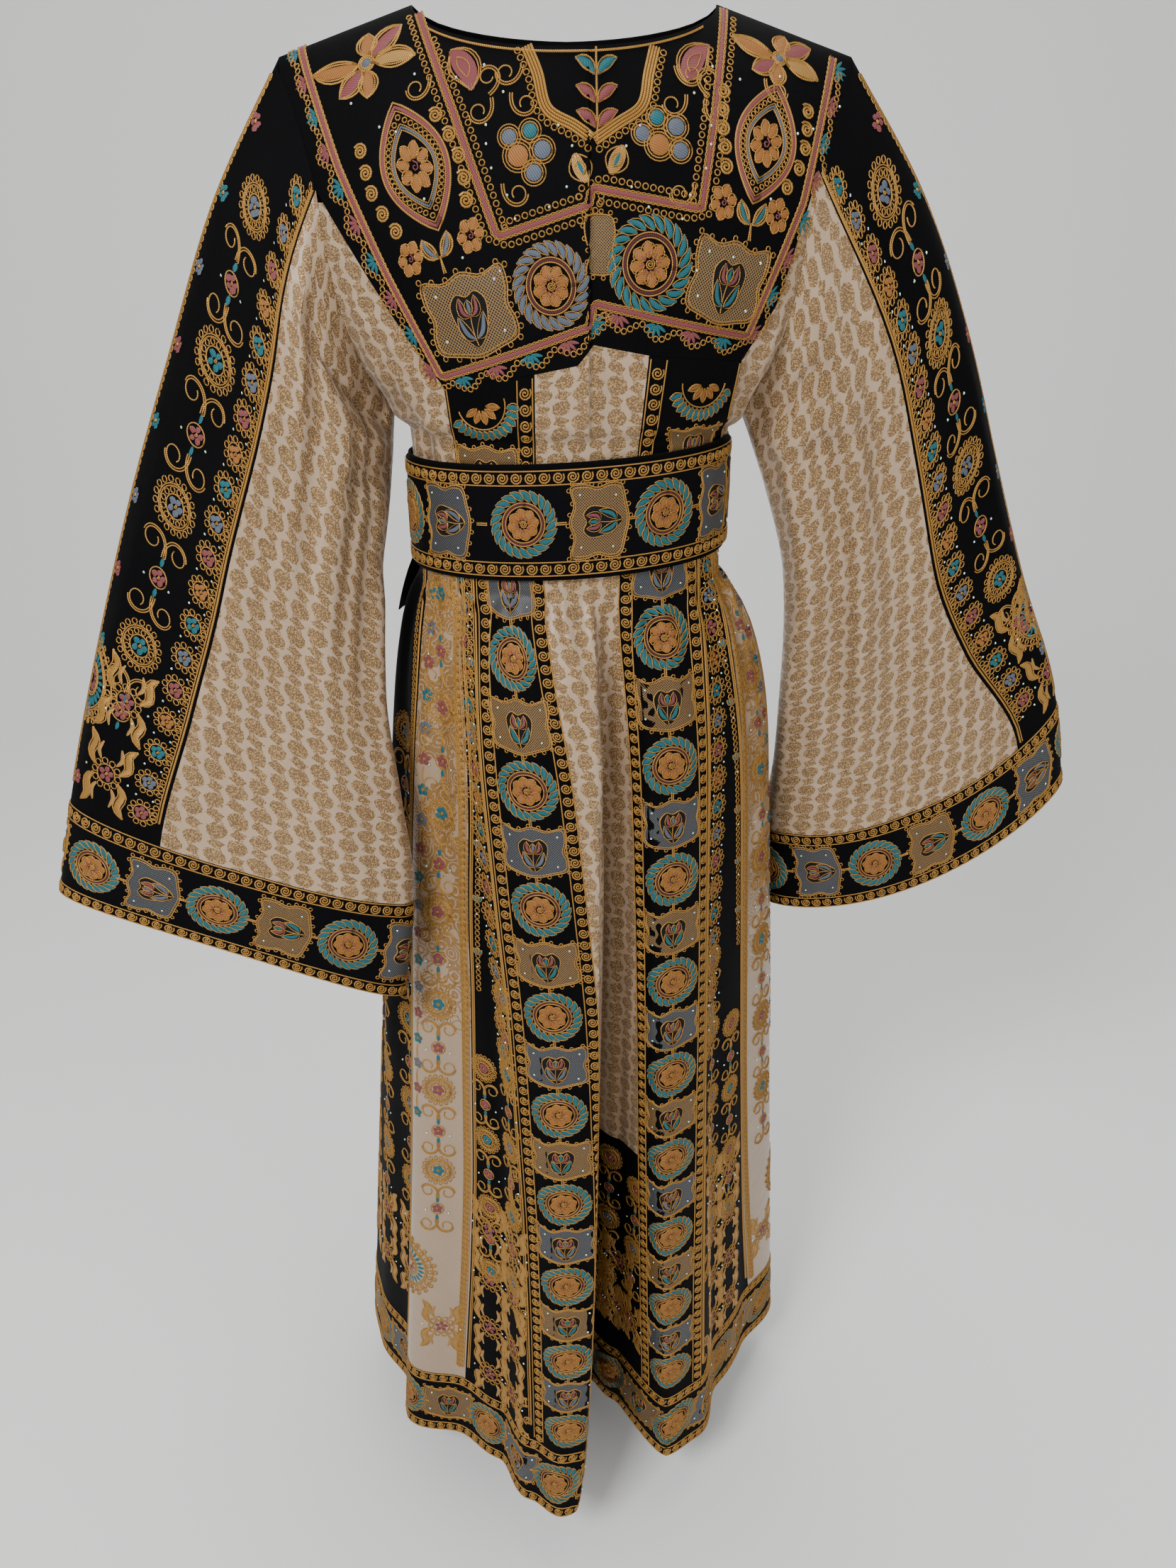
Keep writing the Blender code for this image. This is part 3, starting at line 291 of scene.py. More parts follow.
# Sleeve rings: the fold line over the arm, the fold line under it, and half the depth between
SLEEVE = {
    "left": Table("t ox oy oz ix iy iz depth sag seam", (
        (0.00, -0.2262, 0.000, -0.040, -0.154, 0.000, -0.305, 0.062, 0.000, 72),
        (0.20, -0.2900, -0.028, -0.150, -0.160, -0.020, -0.375, 0.062, 0.004, 74),
        (0.40, -0.3310, -0.053, -0.255, -0.170, -0.052, -0.458, 0.058, 0.008, 77),
        (0.60, -0.3710, -0.077, -0.362, -0.169, -0.085, -0.538, 0.054, 0.010, 77),
        (0.80, -0.4100, -0.103, -0.482, -0.157, -0.115, -0.632, 0.051, 0.010, 72),
        (1.00, -0.4520, -0.130, -0.625, -0.147, -0.137, -0.730, 0.050, 0.000, 66),
        (1.15, -0.4740, -0.142, -0.712, -0.160, -0.147, -0.828, 0.050, -0.016, 66),
    )),
    "right": Table("t ox oy oz ix iy iz depth sag seam", (
        (0.00, 0.2262, 0.000, -0.040, 0.154, 0.000, -0.305, 0.062, 0.000, 68),
        (0.20, 0.3000, 0.008, -0.140, 0.180, 0.004, -0.372, 0.062, 0.004, 74),
        (0.40, 0.3500, 0.016, -0.240, 0.204, 0.012, -0.458, 0.058, 0.009, 77),
        (0.60, 0.3950, 0.025, -0.352, 0.211, 0.028, -0.545, 0.054, 0.015, 74),
        (0.80, 0.4400, 0.033, -0.463, 0.213, 0.048, -0.648, 0.051, 0.022, 62),
        (1.00, 0.5000, 0.040, -0.598, 0.213, 0.064, -0.755, 0.050, 0.030, 46),
        (1.15, 0.5230, 0.045, -0.688, 0.216, 0.068, -0.848, 0.050, 0.032, 46),
    )),
}
SLEEVE_ROWS = (0.0, 0.045, 0.10, 0.17, 0.25, 0.34, 0.44, 0.54, 0.64, 0.74, 0.83, 0.92, 1.0)
CUFF_ROWS = (1.0, 1.075, 1.15)
ARMHOLE_BLEND = 0.30

# Soft troughs that run down the sleeves
SLEEVE_CREASES = (
    # hand, angle, width, depth, start, end
    ("left", 98, 13, 0.0075, 0.16, 1.05),
    ("left", 128, 11, 0.0090, 0.10, 0.92),
    ("left", 153, 9, 0.0050, 0.30, 1.10),
    ("left", 48, 12, 0.0045, 0.05, 0.85),
    ("left", -60, 13, 0.0060, 0.10, 0.90),
    ("left", -100, 14, 0.0085, 0.20, 1.10),
    ("left", -138, 12, 0.0070, 0.05, 0.95),
    ("right", 92, 12, 0.0085, 0.22, 1.05),
    ("right", 122, 12, 0.0065, 0.05, 0.80),
    ("right", 148, 10, 0.0055, 0.30, 1.10),
    ("right", 40, 12, 0.0045, 0.10, 0.90),
    ("right", -58, 12, 0.0060, 0.05, 0.85),
    ("right", -96, 14, 0.0080, 0.25, 1.10),
    ("right", -135, 12, 0.0065, 0.10, 0.95),
)

# The belt's loose ends, with the angles of their two edges and their lowest height
BELT_TAILS = (
    # name, first_angle, last_angle, low
    ("belt_tail_front", -97.0, -112.0, -0.495),
    ("belt_tail_back", -119.0, -135.0, -0.575),
)
TAIL_COLUMNS = 6
TAIL_ROWS = 9

# Drag folds on the bodice: a line from start to end, its width, and its height over the cloth
BODICE_FOLDS = (
    # side, x0, z0, x1, z1, width, height
    (-1, -0.150, -0.262, -0.096, -0.330, 0.011, 0.0060),
    (-1, -0.128, -0.240, -0.118, -0.330, 0.008, -0.0045),
    (-1, -0.168, -0.215, -0.150, -0.290, 0.009, 0.0040),
    (-1, 0.170, -0.235, 0.135, -0.325, 0.011, 0.0055),
    (-1, 0.152, -0.290, 0.140, -0.330, 0.007, -0.0040),
    (-1, 0.038, -0.262, 0.034, -0.330, 0.010, -0.0040),
    (1, -0.140, -0.250, -0.080, -0.325, 0.013, 0.0060),
    (1, 0.145, -0.245, 0.090, -0.325, 0.013, 0.0060),
    (1, -0.035, -0.230, -0.030, -0.330, 0.015, 0.0045),
    (1, 0.050, -0.215, 0.040, -0.330, 0.015, -0.0040),
)

def unit(vectors):
    """The same directions with a length of one."""
    length = np.linalg.norm(vectors, axis=-1, keepdims=True)
    return vectors / np.maximum(length, 1e-12)


def ease(value):
    """A smooth step from nought to one."""
    value = np.clip(value, 0.0, 1.0)
    return value * value * (3 - 2 * value)


def ridge_z(x):
    """Height of the shoulder ridge, which falls away from the neck."""
    return NECK_HALF * SHOULDER_SLOPE - SHOULDER_SLOPE * np.abs(x)


# Creases of single panels. Places are shares of the panel's width and length, sizes are metres
CREASES = (
    # panel, across0, down0, across1, down1, width, height
    ("sleeve_under_left", 0.05, 0.02, 0.16, 0.50, 0.010, 0.0048),
    ("sleeve_under_left", 0.13, 0.04, 0.27, 0.82, 0.013, -0.0054),
    ("sleeve_under_left", 0.24, 0.10, 0.35, 0.95, 0.012, 0.0048),
    ("sleeve_under_left", 0.36, 0.00, 0.41, 0.62, 0.011, -0.0048),
    ("sleeve_under_left", 0.46, 0.30, 0.47, 0.98, 0.014, 0.0048),
    ("sleeve_under_left", 0.62, 0.02, 0.58, 0.75, 0.012, -0.0051),
    ("sleeve_under_left", 0.76, 0.05, 0.71, 0.90, 0.014, 0.0048),
    ("sleeve_under_left", 0.90, 0.02, 0.84, 0.60, 0.011, -0.0042),
    ("sleeve_under_right", 0.06, 0.03, 0.13, 0.44, 0.011, -0.0045),
    ("sleeve_under_right", 0.15, 0.02, 0.25, 0.72, 0.012, 0.0051),
    ("sleeve_under_right", 0.27, 0.08, 0.34, 0.95, 0.013, -0.0054),
    ("sleeve_under_right", 0.38, 0.03, 0.44, 0.70, 0.012, 0.0048),
    ("sleeve_under_right", 0.55, 0.02, 0.53, 0.88, 0.013, -0.0048),
    ("sleeve_under_right", 0.68, 0.06, 0.64, 0.80, 0.012, 0.0045),
    ("sleeve_under_right", 0.85, 0.02, 0.79, 0.66, 0.012, -0.0048),
    ("sleeve_top_left", 0.88, 0.05, 0.80, 0.46, 0.011, -0.0038),
    ("sleeve_top_left", 0.70, 0.28, 0.64, 0.92, 0.013, 0.0042),
    ("sleeve_top_left", 0.30, 0.05, 0.34, 0.66, 0.013, -0.0038),
    ("sleeve_top_right", 0.86, 0.10, 0.78, 0.60, 0.012, -0.0042),
    ("sleeve_top_right", 0.66, 0.36, 0.60, 0.95, 0.012, 0.0038),
    ("sleeve_top_right", 0.26, 0.08, 0.33, 0.72, 0.013, -0.0038),
    ("bodice_side_left", 0.30, 0.30, 0.12, 0.86, 0.007, 0.0035),
    ("bodice_side_left", 0.62, 0.34, 0.30, 0.92, 0.008, -0.0035),
    ("bodice_side_right", 0.24, 0.36, 0.10, 0.88, 0.007, -0.0032),
    ("bodice_side_right", 0.60, 0.30, 0.34, 0.90, 0.008, 0.0035),
    ("bodice_centre", 0.16, 0.16, 0.24, 0.86, 0.006, 0.0022),
    ("bodice_centre", 0.86, 0.22, 0.76, 0.88, 0.007, -0.0022),
    ("bodice_back", 0.12, 0.34, 0.24, 0.84, 0.014, -0.0037),
    ("bodice_back", 0.88, 0.36, 0.75, 0.86, 0.013, -0.0035),
    ("bodice_back", 0.40, 0.40, 0.42, 0.90, 0.012, 0.0032),
    ("bodice_back", 0.60, 0.46, 0.57, 0.90, 0.011, -0.0030),
    ("skirt_centre", 0.22, 0.02, 0.30, 0.42, 0.007, 0.0032),
    ("skirt_centre", 0.70, 0.04, 0.66, 0.34, 0.007, -0.0030),
    ("skirt_centre", 0.42, 0.38, 0.50, 0.96, 0.010, 0.0035),
    ("skirt_satin_left", 0.40, 0.04, 0.46, 0.30, 0.007, -0.0025),
    ("skirt_satin_right", 0.55, 0.05, 0.50, 0.36, 0.007, 0.0025),
    ("skirt_side_left", 0.30, 0.03, 0.36, 0.46, 0.014, -0.0037),
    ("skirt_side_left", 0.64, 0.05, 0.60, 0.62, 0.014, 0.0037),
    ("skirt_side_right", 0.42, 0.04, 0.46, 0.55, 0.013, -0.0037),
    ("skirt_back", 0.18, 0.01, 0.17, 0.40, 0.013, 0.0040),
    ("skirt_back", 0.33, 0.01, 0.35, 0.55, 0.015, -0.0042),
    ("skirt_back", 0.52, 0.01, 0.50, 0.46, 0.014, 0.0042),
    ("skirt_back", 0.69, 0.01, 0.70, 0.60, 0.015, -0.0040),
    ("skirt_back", 0.84, 0.01, 0.83, 0.36, 0.013, 0.0037),
    ("sleeve_under_left", 0.12, 0.105, 0.47, 0.036, 0.0055, -0.0075),
    ("sleeve_under_left", 0.16, 0.165, 0.48, 0.085, 0.0100, 0.0060),
    ("sleeve_under_left", 0.22, 0.290, 0.47, 0.110, 0.0070, -0.0055),
    ("sleeve_under_right", 0.13, 0.110, 0.47, 0.040, 0.0060, -0.0070),
    ("sleeve_under_right", 0.18, 0.180, 0.48, 0.090, 0.0100, 0.0055),
    ("sleeve_under_right", 0.10, 0.240, 0.44, 0.130, 0.0070, -0.0055),
)
CREASE_FADE = 0.016
CREASE_WIDENING = (0.7, 1.3)
CREASE_PAST = (0.01, 0.02)
CREASE_DYING = (0.05, 0.06)
SHARP_EDGE = math.radians(50)


def bodice_top(side, x):
    """Height of the bodice's upper edge: the shoulder ridge, or the neckline between the neck points."""
    dip = NECK_DIP_FRONT if side < 0 else NECK_DIP_BACK
    inside = np.clip(1 - (np.abs(x) / NECK_HALF) ** 2, 0, 1)
    return np.where(np.abs(x) < NECK_HALF, -dip * np.sqrt(inside), ridge_z(x))


def bodice_relief(side, x, z):
    """How far the folds stand out from the plain bodice."""
    relief = np.zeros(np.broadcast(x, z).shape)
    for fold_side, x0, z0, x1, z1, width, height in BODICE_FOLDS:
        if fold_side != side:
            continue
        length = math.hypot(x1 - x0, z1 - z0)
        along = ((x - x0) * (x1 - x0) + (z - z0) * (z1 - z0)) / length
        across = ((x - x0) * (z1 - z0) - (z - z0) * (x1 - x0)) / length
        ends = ease((along + 0.03) / 0.05) * ease((length + 0.01 - along) / 0.03)
        relief = relief + height * np.exp(-(across / width) ** 2) * ends
    if side < 0:
        rise = np.where(x <= TUCK_X, np.exp(-np.clip(TUCK_X - x, 0, None) / TUCK_REACH), 0.0)
        grow = 0.35 + 0.65 * ease((-z - TUCK_TOP) / 0.10)
        relief = relief + TUCK_HEIGHT * rise * grow
    keep = ease((z - (WAIST_Z + 0.085)) / 0.02)
    return relief * keep


def bodice(side, angle, z, folded=True):
    """Point of the bodice at an angle from the middle. side is -1 for the front and 1 for the back."""
    half = BODICE.at("half", z)
    deep = BODICE.at("front" if side < 0 else "back", z)
    x = half * np.sin(angle)
    low = ridge_z(x) - SHOULDER_ROLL
    over = np.clip((z - low) / SHOULDER_ROLL, 0, 1)
    roll = np.sqrt(1 - over * over)
    reach = deep * np.cos(angle) * roll
    if folded:
        reach = reach + bodice_relief(side, x, z) * np.minimum(1, np.abs(reach) / 0.03)
    return np.stack(np.broadcast_arrays(x, side * reach, z), axis=-1)


def bodice_angle(x, z):
    """The angle round the bodice at a place across, in radians from the front."""
    return np.arcsin(np.clip(x / BODICE.at("half", z), -1, 1))


def bodice_panel(side, x, z):
    """Points and plain normals of the bodice at positions seen from the front."""
    angle = bodice_angle(x, z)
    points = bodice(side, angle, z)
    turn, drop = 1e-3, 2e-4
    across = bodice(side, angle + turn, z, False) - bodice(side, angle - turn, z, False)
    down = bodice(side, angle, z - drop, False) - bodice(side, angle, z + drop, False)
    normals = unit(np.cross(across, down)) * side
    on_ridge = np.abs(points[..., 1]) < 1e-5
    level = np.where(on_ridge[..., None], normals * (1, 0, 1), normals)
    return points, unit(level)


def fold_reach(angle, z):
    """Distance from the skirt's middle line to the cloth, at angles in degrees from the front."""
    fall = np.clip((FLARE_Z - z) / (FLARE_Z - HEM_Z), 0, 1)
    at_belt, at_hem, swing, puff, hem_reach = np.array(SKIRT_FOLDS).T
    centre = at_hem + (at_belt - at_hem) * (1 - fall) ** swing
    open_up = puff * (1 - math.exp(-fall / PUFF_FALL)) + (1 - puff) * fall
    rise = (hem_reach - waist_reach(centre, z)) * open_up
    centre = np.concatenate(([centre[-1] - 360], centre, [centre[0] + 360]))
    rise = np.concatenate(([rise[-1]], rise, [rise[0]]))
    angle = (np.asarray(angle, float) - centre[0]) % 360 + centre[0]
    i = np.clip(np.searchsorted(centre, angle, side="right") - 1, 0, len(centre) - 2)
    part = (angle - centre[i]) / (centre[i + 1] - centre[i])
    blend = 0.5 - 0.5 * np.cos(np.pi * part)
    below = max(FLARE_Z + 0.004 - z, 0.0)
    gather = GATHER_HEIGHT * ease(below / 0.02) * math.exp(-below / 0.09)
    wave = gather * np.cos(np.radians(angle) * GATHER_COUNT)
    return waist_reach(angle, z) + rise[i] * (1 - blend) + rise[i + 1] * blend + wave


def waist_reach(angle, z):
    """Reach of the plain waist section at an angle in degrees from the front."""
    turn = np.radians(angle)
    half, front, back = (BODICE.at(name, max(z, FLARE_Z)) for name in ("half", "front", "back"))
    deep = np.where(np.cos(turn) > 0, front, back)
    return 1 / np.sqrt((np.sin(turn) / half) ** 2 + (np.cos(turn) / deep) ** 2)


def skirt(angle, z):
    """Points of the skirt at one height, at angles in degrees from the front."""
    reach = fold_reach(angle, z)
    fall = max((FLARE_Z - z) / (FLARE_Z - HEM_Z), 0.0)
    turn = np.radians(angle)
    x = reach * np.sin(turn)
    y = SKIRT_BACKWARD * fall - reach * np.cos(turn)
    return np.stack((x, y, np.full_like(x, z)), axis=-1)


def skirt_seams(z):
    """Angles of every seam at one height, in order round the skirt from the left side seam."""
    angle = np.arange(-SIDE_SEAM_ANGLE, SIDE_SEAM_ANGLE + 0.1, 0.2)
    points = skirt(angle, z)
    lengths = np.concatenate(([0], np.cumsum(np.linalg.norm(np.diff(points, axis=0), axis=1))))
    front = np.abs(angle) < 75
    middle = {}
    for hand in ("left", "right"):
        line = BAND_LINES.at(hand, z)
        middle[hand] = np.interp(np.interp(line, points[front, 0], angle[front]), angle, lengths)
    width = {name: float(PANEL_WIDTHS.at(name, z)) for name in PANEL_WIDTHS.columns}
    left_in = middle["left"] + width["half_left"]
    left_out = middle["left"] - width["half_left"]
    right_in = middle["right"] - width["half_right"]
    right_out = middle["right"] + width["half_right"]
    places = (
        0.0,
        left_out - width["strip_left"] - width["satin_left"],
        left_out - width["strip_left"],
        left_out,
        left_in,
        right_in,
        right_out,
        right_out + width["strip_right"],
        right_out + width["strip_right"] + width["satin_right"],
        lengths[-1],
    )
    return places, lengths, angle


def back_columns(z, count):
    """Evenly spaced angles round the back, from side seam to side seam."""
    angle = np.linspace(SIDE_SEAM_ANGLE, 360 - SIDE_SEAM_ANGLE, 401)
    points = skirt(angle, z)
    lengths = np.concatenate(([0], np.cumsum(np.linalg.norm(np.diff(points, axis=0), axis=1))))
    return np.interp(np.linspace(0, lengths[-1], count + 1), lengths, angle)


def armhole_steps(hand):
    """Heights of the armhole seam's points, from the shoulder down to the underarm."""
    return finer(ARMHOLE_TOP_STEPS + ARMHOLE_LOW_STEPS[hand])


def armhole(hand, side):
    """Points and normals of half an armhole, from the shoulder down to the underarm."""
    z = armhole_steps(hand)
    z[0] = ridge_z(SHOULDER_HALF)
    x = ARMHOLE.at("reach", z) * (-1 if hand == "left" else 1)
    x[-1] = BODICE.at("half", z[-1]) * np.sign(x[-1])
    points, normals = bodice_panel(side, x, z)
    points[0, 1] = points[-1, 1] = 0.0
    normals[-1] = (np.sign(x[-1]), 0, 0)
    return points, normals


def sleeve_angles(hand, t):
    """Angles of the sleeve's columns: 0 is the fold over the arm, and positive angles face front."""
    seam = float(SLEEVE[hand].at("seam", min(t, 1.0)))
    top = np.linspace(0, seam, TOP_COUNT + 1)
    under = np.linspace(seam, 180, LOW_COUNT + 1)
    half = np.concatenate((top, under[1:]))
    return np.concatenate((half, -half[-2:0:-1]))


def sleeve_ring(hand, t):
    """One ring of the sleeve: the plain ring, moved by what the armhole seam differs from the first one."""
    seam_front, _ = armhole(hand, -1)
    seam_back, _ = armhole(hand, 1)
    hole = np.concatenate((seam_front, seam_back[-2:0:-1]))
    return plain_ring(hand, t) + (hole - plain_ring(hand, 0.0)) * (1 - ease(t / ARMHOLE_BLEND))


def sleeve_middle(table, t):
    """The middle between the two fold lines of a sleeve."""
    pairs = (("ox", "ix"), ("oy", "iy"), ("oz", "iz"))
    return np.array([float(table.at(outer, t) + table.at(inner, t)) / 2 for outer, inner in pairs])


def plain_ring(hand, t):
    """One ring of the sleeve between its two fold lines, with its creases."""
    table = SLEEVE[hand]
    outer = np.array([float(table.at(name, t)) for name in ("ox", "oy", "oz")])
    inner = np.array([float(table.at(name, t)) for name in ("ix", "iy", "iz")])
    before, after = (sleeve_middle(table, u) for u in (max(t - 0.05, 0), min(t + 0.05, CUFF_ROWS[-1])))
    axis = unit(after - before)
    across = (outer - inner) / 2
    front = unit(np.cross(across, axis))
    front = front * (-1 if front[1] > 0 else 1)
    angles = sleeve_angles(hand, t)
    turn = np.radians(angles)[:, None]
    depth = float(table.at("depth", t))
    bulge = np.full((len(angles), 1), depth)
    for crease_hand, middle, width, trough, start, end in SLEEVE_CREASES:
        if crease_hand == hand:
            near = np.exp(-((angles - middle) / width) ** 2)[:, None]
            bulge = bulge - trough * near * ease((t - start) / 0.15) * ease((end - t) / 0.15)
    ring = (outer + inner) / 2 + across * np.cos(turn) + front * bulge * np.sin(turn)
    return ring + axis * float(table.at("sag", t)) * np.sin(turn) ** 2


def sleeve_grid(hand, rows):
    """Rings and outward normals of a stretch of the sleeve."""
    rings = np.array([sleeve_ring(hand, t) for t in rows])
    ahead = np.array([sleeve_ring(hand, min(t + 0.01, CUFF_ROWS[-1])) for t in rows])
    behind = np.array([sleeve_ring(hand, max(t - 0.01, 0.0)) for t in rows])
    around = np.roll(rings, -1, axis=1) - np.roll(rings, 1, axis=1)
    normals = unit(np.cross(around, ahead - behind))
    centre = rings.mean(axis=1, keepdims=True)
    facing = np.sum(normals * (rings - centre), axis=-1).mean()
    normals = normals * (1 if facing > 0 else -1)
    return rings, normals


def armhole_mitre(hand):
    """Normals along the armhole seam for the bodice and for the sleeve, alike where the seam is convex."""
    rings, sleeve = sleeve_grid(hand, (0.0, 0.02))
    _, front = armhole(hand, -1)
    _, back = armhole(hand, 1)
    body = np.concatenate((front, back[-2:0:-1]))
    away = unit(rings[1] - rings[0])
    convex = ease(-np.sum(away * body, axis=-1, keepdims=True) / 0.2)
    mitre = unit(body + sleeve[0])
    return unit(body * (1 - convex) + mitre * convex), unit(sleeve[0] * (1 - convex) + mitre * convex)


def square_off(edge, beside):
    """Unit steps from an edge towards the cloth beside it, square to the edge."""
    along = np.empty_like(edge)
    along[1:-1] = edge[2:] - edge[:-2]
    along[0], along[-1] = edge[1] - edge[0], edge[-1] - edge[-2]
    along = unit(along)
    step = unit(beside - edge)
    return unit(step - along * np.sum(step * along, axis=-1, keepdims=True))


def part_edges(points, edges):
    """Draw the named edges of a grid back by half a seam gap each, within the cloth."""
    source = points
    points = points.copy()
    half = SEAM / 2
    if "top" in edges:
        points[0] += square_off(source[0], source[1]) * half
    if "bottom" in edges:
        points[-1] += square_off(source[-1], source[-2]) * half
    if "first" in edges:
        points[:, 0] += square_off(source[:, 0], source[:, 1]) * half
    if "last" in edges:
        points[:, -1] += square_off(source[:, -1], source[:, -2]) * half
    return points


# Looks. Every material is worked out from positions or from lengths along the cloth, in metres
THREADS = (
    # name, colour, roughness, metallic
    ("gold", (0.405, 0.212, 0.048), 0.42, 0.45),
    ("pale_gold", (0.40, 0.215, 0.060), 0.45, 0.35),
    ("rose", (0.205, 0.050, 0.054), 0.52, 0.0),
    ("teal", (0.007, 0.115, 0.142), 0.50, 0.0),
    ("gray", (0.092, 0.112, 0.146), 0.50, 0.0),
    ("tan", (0.30, 0.115, 0.024), 0.50, 0.05),
    ("plum", (0.080, 0.018, 0.024), 0.85, 0.0),
    ("black", (0.0022, 0.0023, 0.0030), 0.90, 0.0),
)
THREAD_NAMES = [row[0] for row in THREADS] + ["net_gold", "net_gray", "stone"]
SHELL_WALL = 0.0011
NEEDLE_LIFT = 0.0002


def put(tree, kind, settings=None, **values):
    """Add a node. Values go to the inputs of those names, or numbers where a name is _0, _1 and so on."""
    made = tree.nodes.new(kind)
    for key, value in (settings or {}).items():
        setattr(made, key, value)
    for key, value in values.items():
        socket = made.inputs[int(key[1:])] if key[0] == "_" else made.inputs[key.replace("_", " ")]
        if isinstance(value, Field):
            tree.links.new(value.socket, socket)
        else:
            socket.default_value = value
    return made


def calc(operation, first, second=0.0):
    """One step of arithmetic on fields and numbers."""
    tree = first.tree if isinstance(first, Field) else second.tree
    return Field(tree, put(tree, "ShaderNodeMath", {"operation": operation}, _0=first, _1=second).outputs[0])


class Field:
    """A value at every point of a surface. Plain arithmetic on fields adds the shader nodes for it."""

    def __init__(self, tree, socket):
        self.tree, self.socket = tree, socket

    def __add__(self, other):
        return calc("ADD", self, other)

    def __sub__(self, other):
        return calc("SUBTRACT", self, other)

    def __rsub__(self, other):
        return calc("SUBTRACT", other, self)

    def __mul__(self, other):
        return calc("MULTIPLY", self, other)

    def __truediv__(self, other):
        return calc("DIVIDE", self, other)

    def __lt__(self, other):
        return calc("LESS_THAN", self, other)

    def __gt__(self, other):
        return calc("GREATER_THAN", self, other)

    def __abs__(self):
        return calc("ABSOLUTE", self)


def larger(first, second):
    """The larger of two fields."""
    return calc("MAXIMUM", first, second)


def within_one(field):
    """The field, kept between nought and one."""
    return calc("MINIMUM", larger(field, 0.0), 1.0)


def middle_of_cell(field, size):
    """Distance from the middle of each repeat, for a field that counts repeats of this size."""
    return (calc("FRACT", field) - 0.5) * size


def wave(field, pitch):
    """Ridges across a field of metres, from 0 between them to 1 on them."""
    return abs(calc("SINE", field * (math.pi / pitch)))


def scaled(colour, factor):
    """A colour made lighter or darker."""
    return tuple(channel * factor for channel in colour)


class Look:
    """A material in the making. Keywords are values of its shader that hold all over the surface."""

    def __init__(self, name, **values):
        self.material = bpy.data.materials.new(name)
        self.material.use_nodes = True
        self.tree = self.material.node_tree
        self.shader = self.tree.nodes["Principled BSDF"]
        self.place = self.node("ShaderNodeTexCoord", "Object")
        self.normal = None
        for key, value in values.items():
            self.shader.inputs[key.replace("_", " ")].default_value = value

    def node(self, kind, output, settings=None, **values):
        """One output of a new node, as a field."""
        return Field(self.tree, put(self.tree, kind, settings, **values).outputs[output])

    def noise(self, scale, detail=2.0, rough=0.5, distortion=0.0):
        """Noise at the place on the cloth."""
        return self.node(
            "ShaderNodeTexNoise", "Fac",
            Vector=self.place, Scale=scale, Detail=detail, Roughness=rough, Distortion=distortion,
        )

    def lengths(self):
        """Distance across and down the cloth, in metres."""
        pair = self.node("ShaderNodeUVMap", 0, {"uv_map": "lengths"})
        split = put(self.tree, "ShaderNodeSeparateXYZ", Vector=pair)
        return Field(self.tree, split.outputs[0]), Field(self.tree, split.outputs[1])

    def mix(self, share, first, second):
        """A colour between two others."""
        first, second = (value if isinstance(value, Field) else (*value, 1.0) for value in (first, second))
        return self.node("ShaderNodeMix", 2, {"data_type": "RGBA"}, _0=share, _6=first, _7=second)

    def paint(self, socket, field):
        """Lead a field to one of the shader's own sockets."""
        self.tree.links.new(field.socket, self.shader.inputs[socket])

    def bump(self, height, distance, strength):
        """Raise the surface, on top of the bumps so far."""
        values = {"Height": height, "Distance": distance, "Strength": strength}
        if self.normal:
            values["Normal"] = self.normal
        self.normal = self.node("ShaderNodeBump", 0, **values)
        self.paint("Normal", self.normal)


def weave(across, down, pitch):
    """Threads over and under each other: 0 in the gaps, 1 on the threads."""
    return larger(wave(across, pitch), wave(down, pitch))


def plain_material(name, colour):
    """A dull material with one faintly uneven colour."""
    look = Look(name, Roughness=0.9)
    look.paint("Base Color", look.mix(look.noise(1.2), scaled(colour, 0.985), colour))
    return look.material


def crepe_material(name, colour):
    """Matt, slightly pebbled cloth."""
    look = Look(name, Roughness=0.74, Specular_IOR_Level=0.06, Sheen_Weight=0.004, Sheen_Roughness=0.45)
    light = tuple(channel * 1.7 + 0.0005 for channel in colour)
    look.paint("Base Color", look.mix(look.noise(28.0, 4.0, 0.6), colour, light))
    look.bump(look.noise(16.0, 3.0, 0.5, 0.4), 0.0035, 0.6)
    look.bump(look.noise(1500.0, 2.0, 0.6), 0.00022, 0.8)
    return look.material


def velvet_material(name):
    """Short dark pile with a soft sheen."""
    look = Look(name, Roughness=0.92, Specular_IOR_Level=0.06, Sheen_Weight=0.045, Sheen_Roughness=0.28)
    shade = look.noise(60.0, 5.0, 0.65)
    look.paint("Base Color", look.mix(shade, (0.0012, 0.0012, 0.0014), (0.0040, 0.0040, 0.0048)))
    look.bump(shade, 0.0008, 0.7)
    look.bump(look.noise(1900.0, 1.0), 0.0003, 0.6)
    return look.material


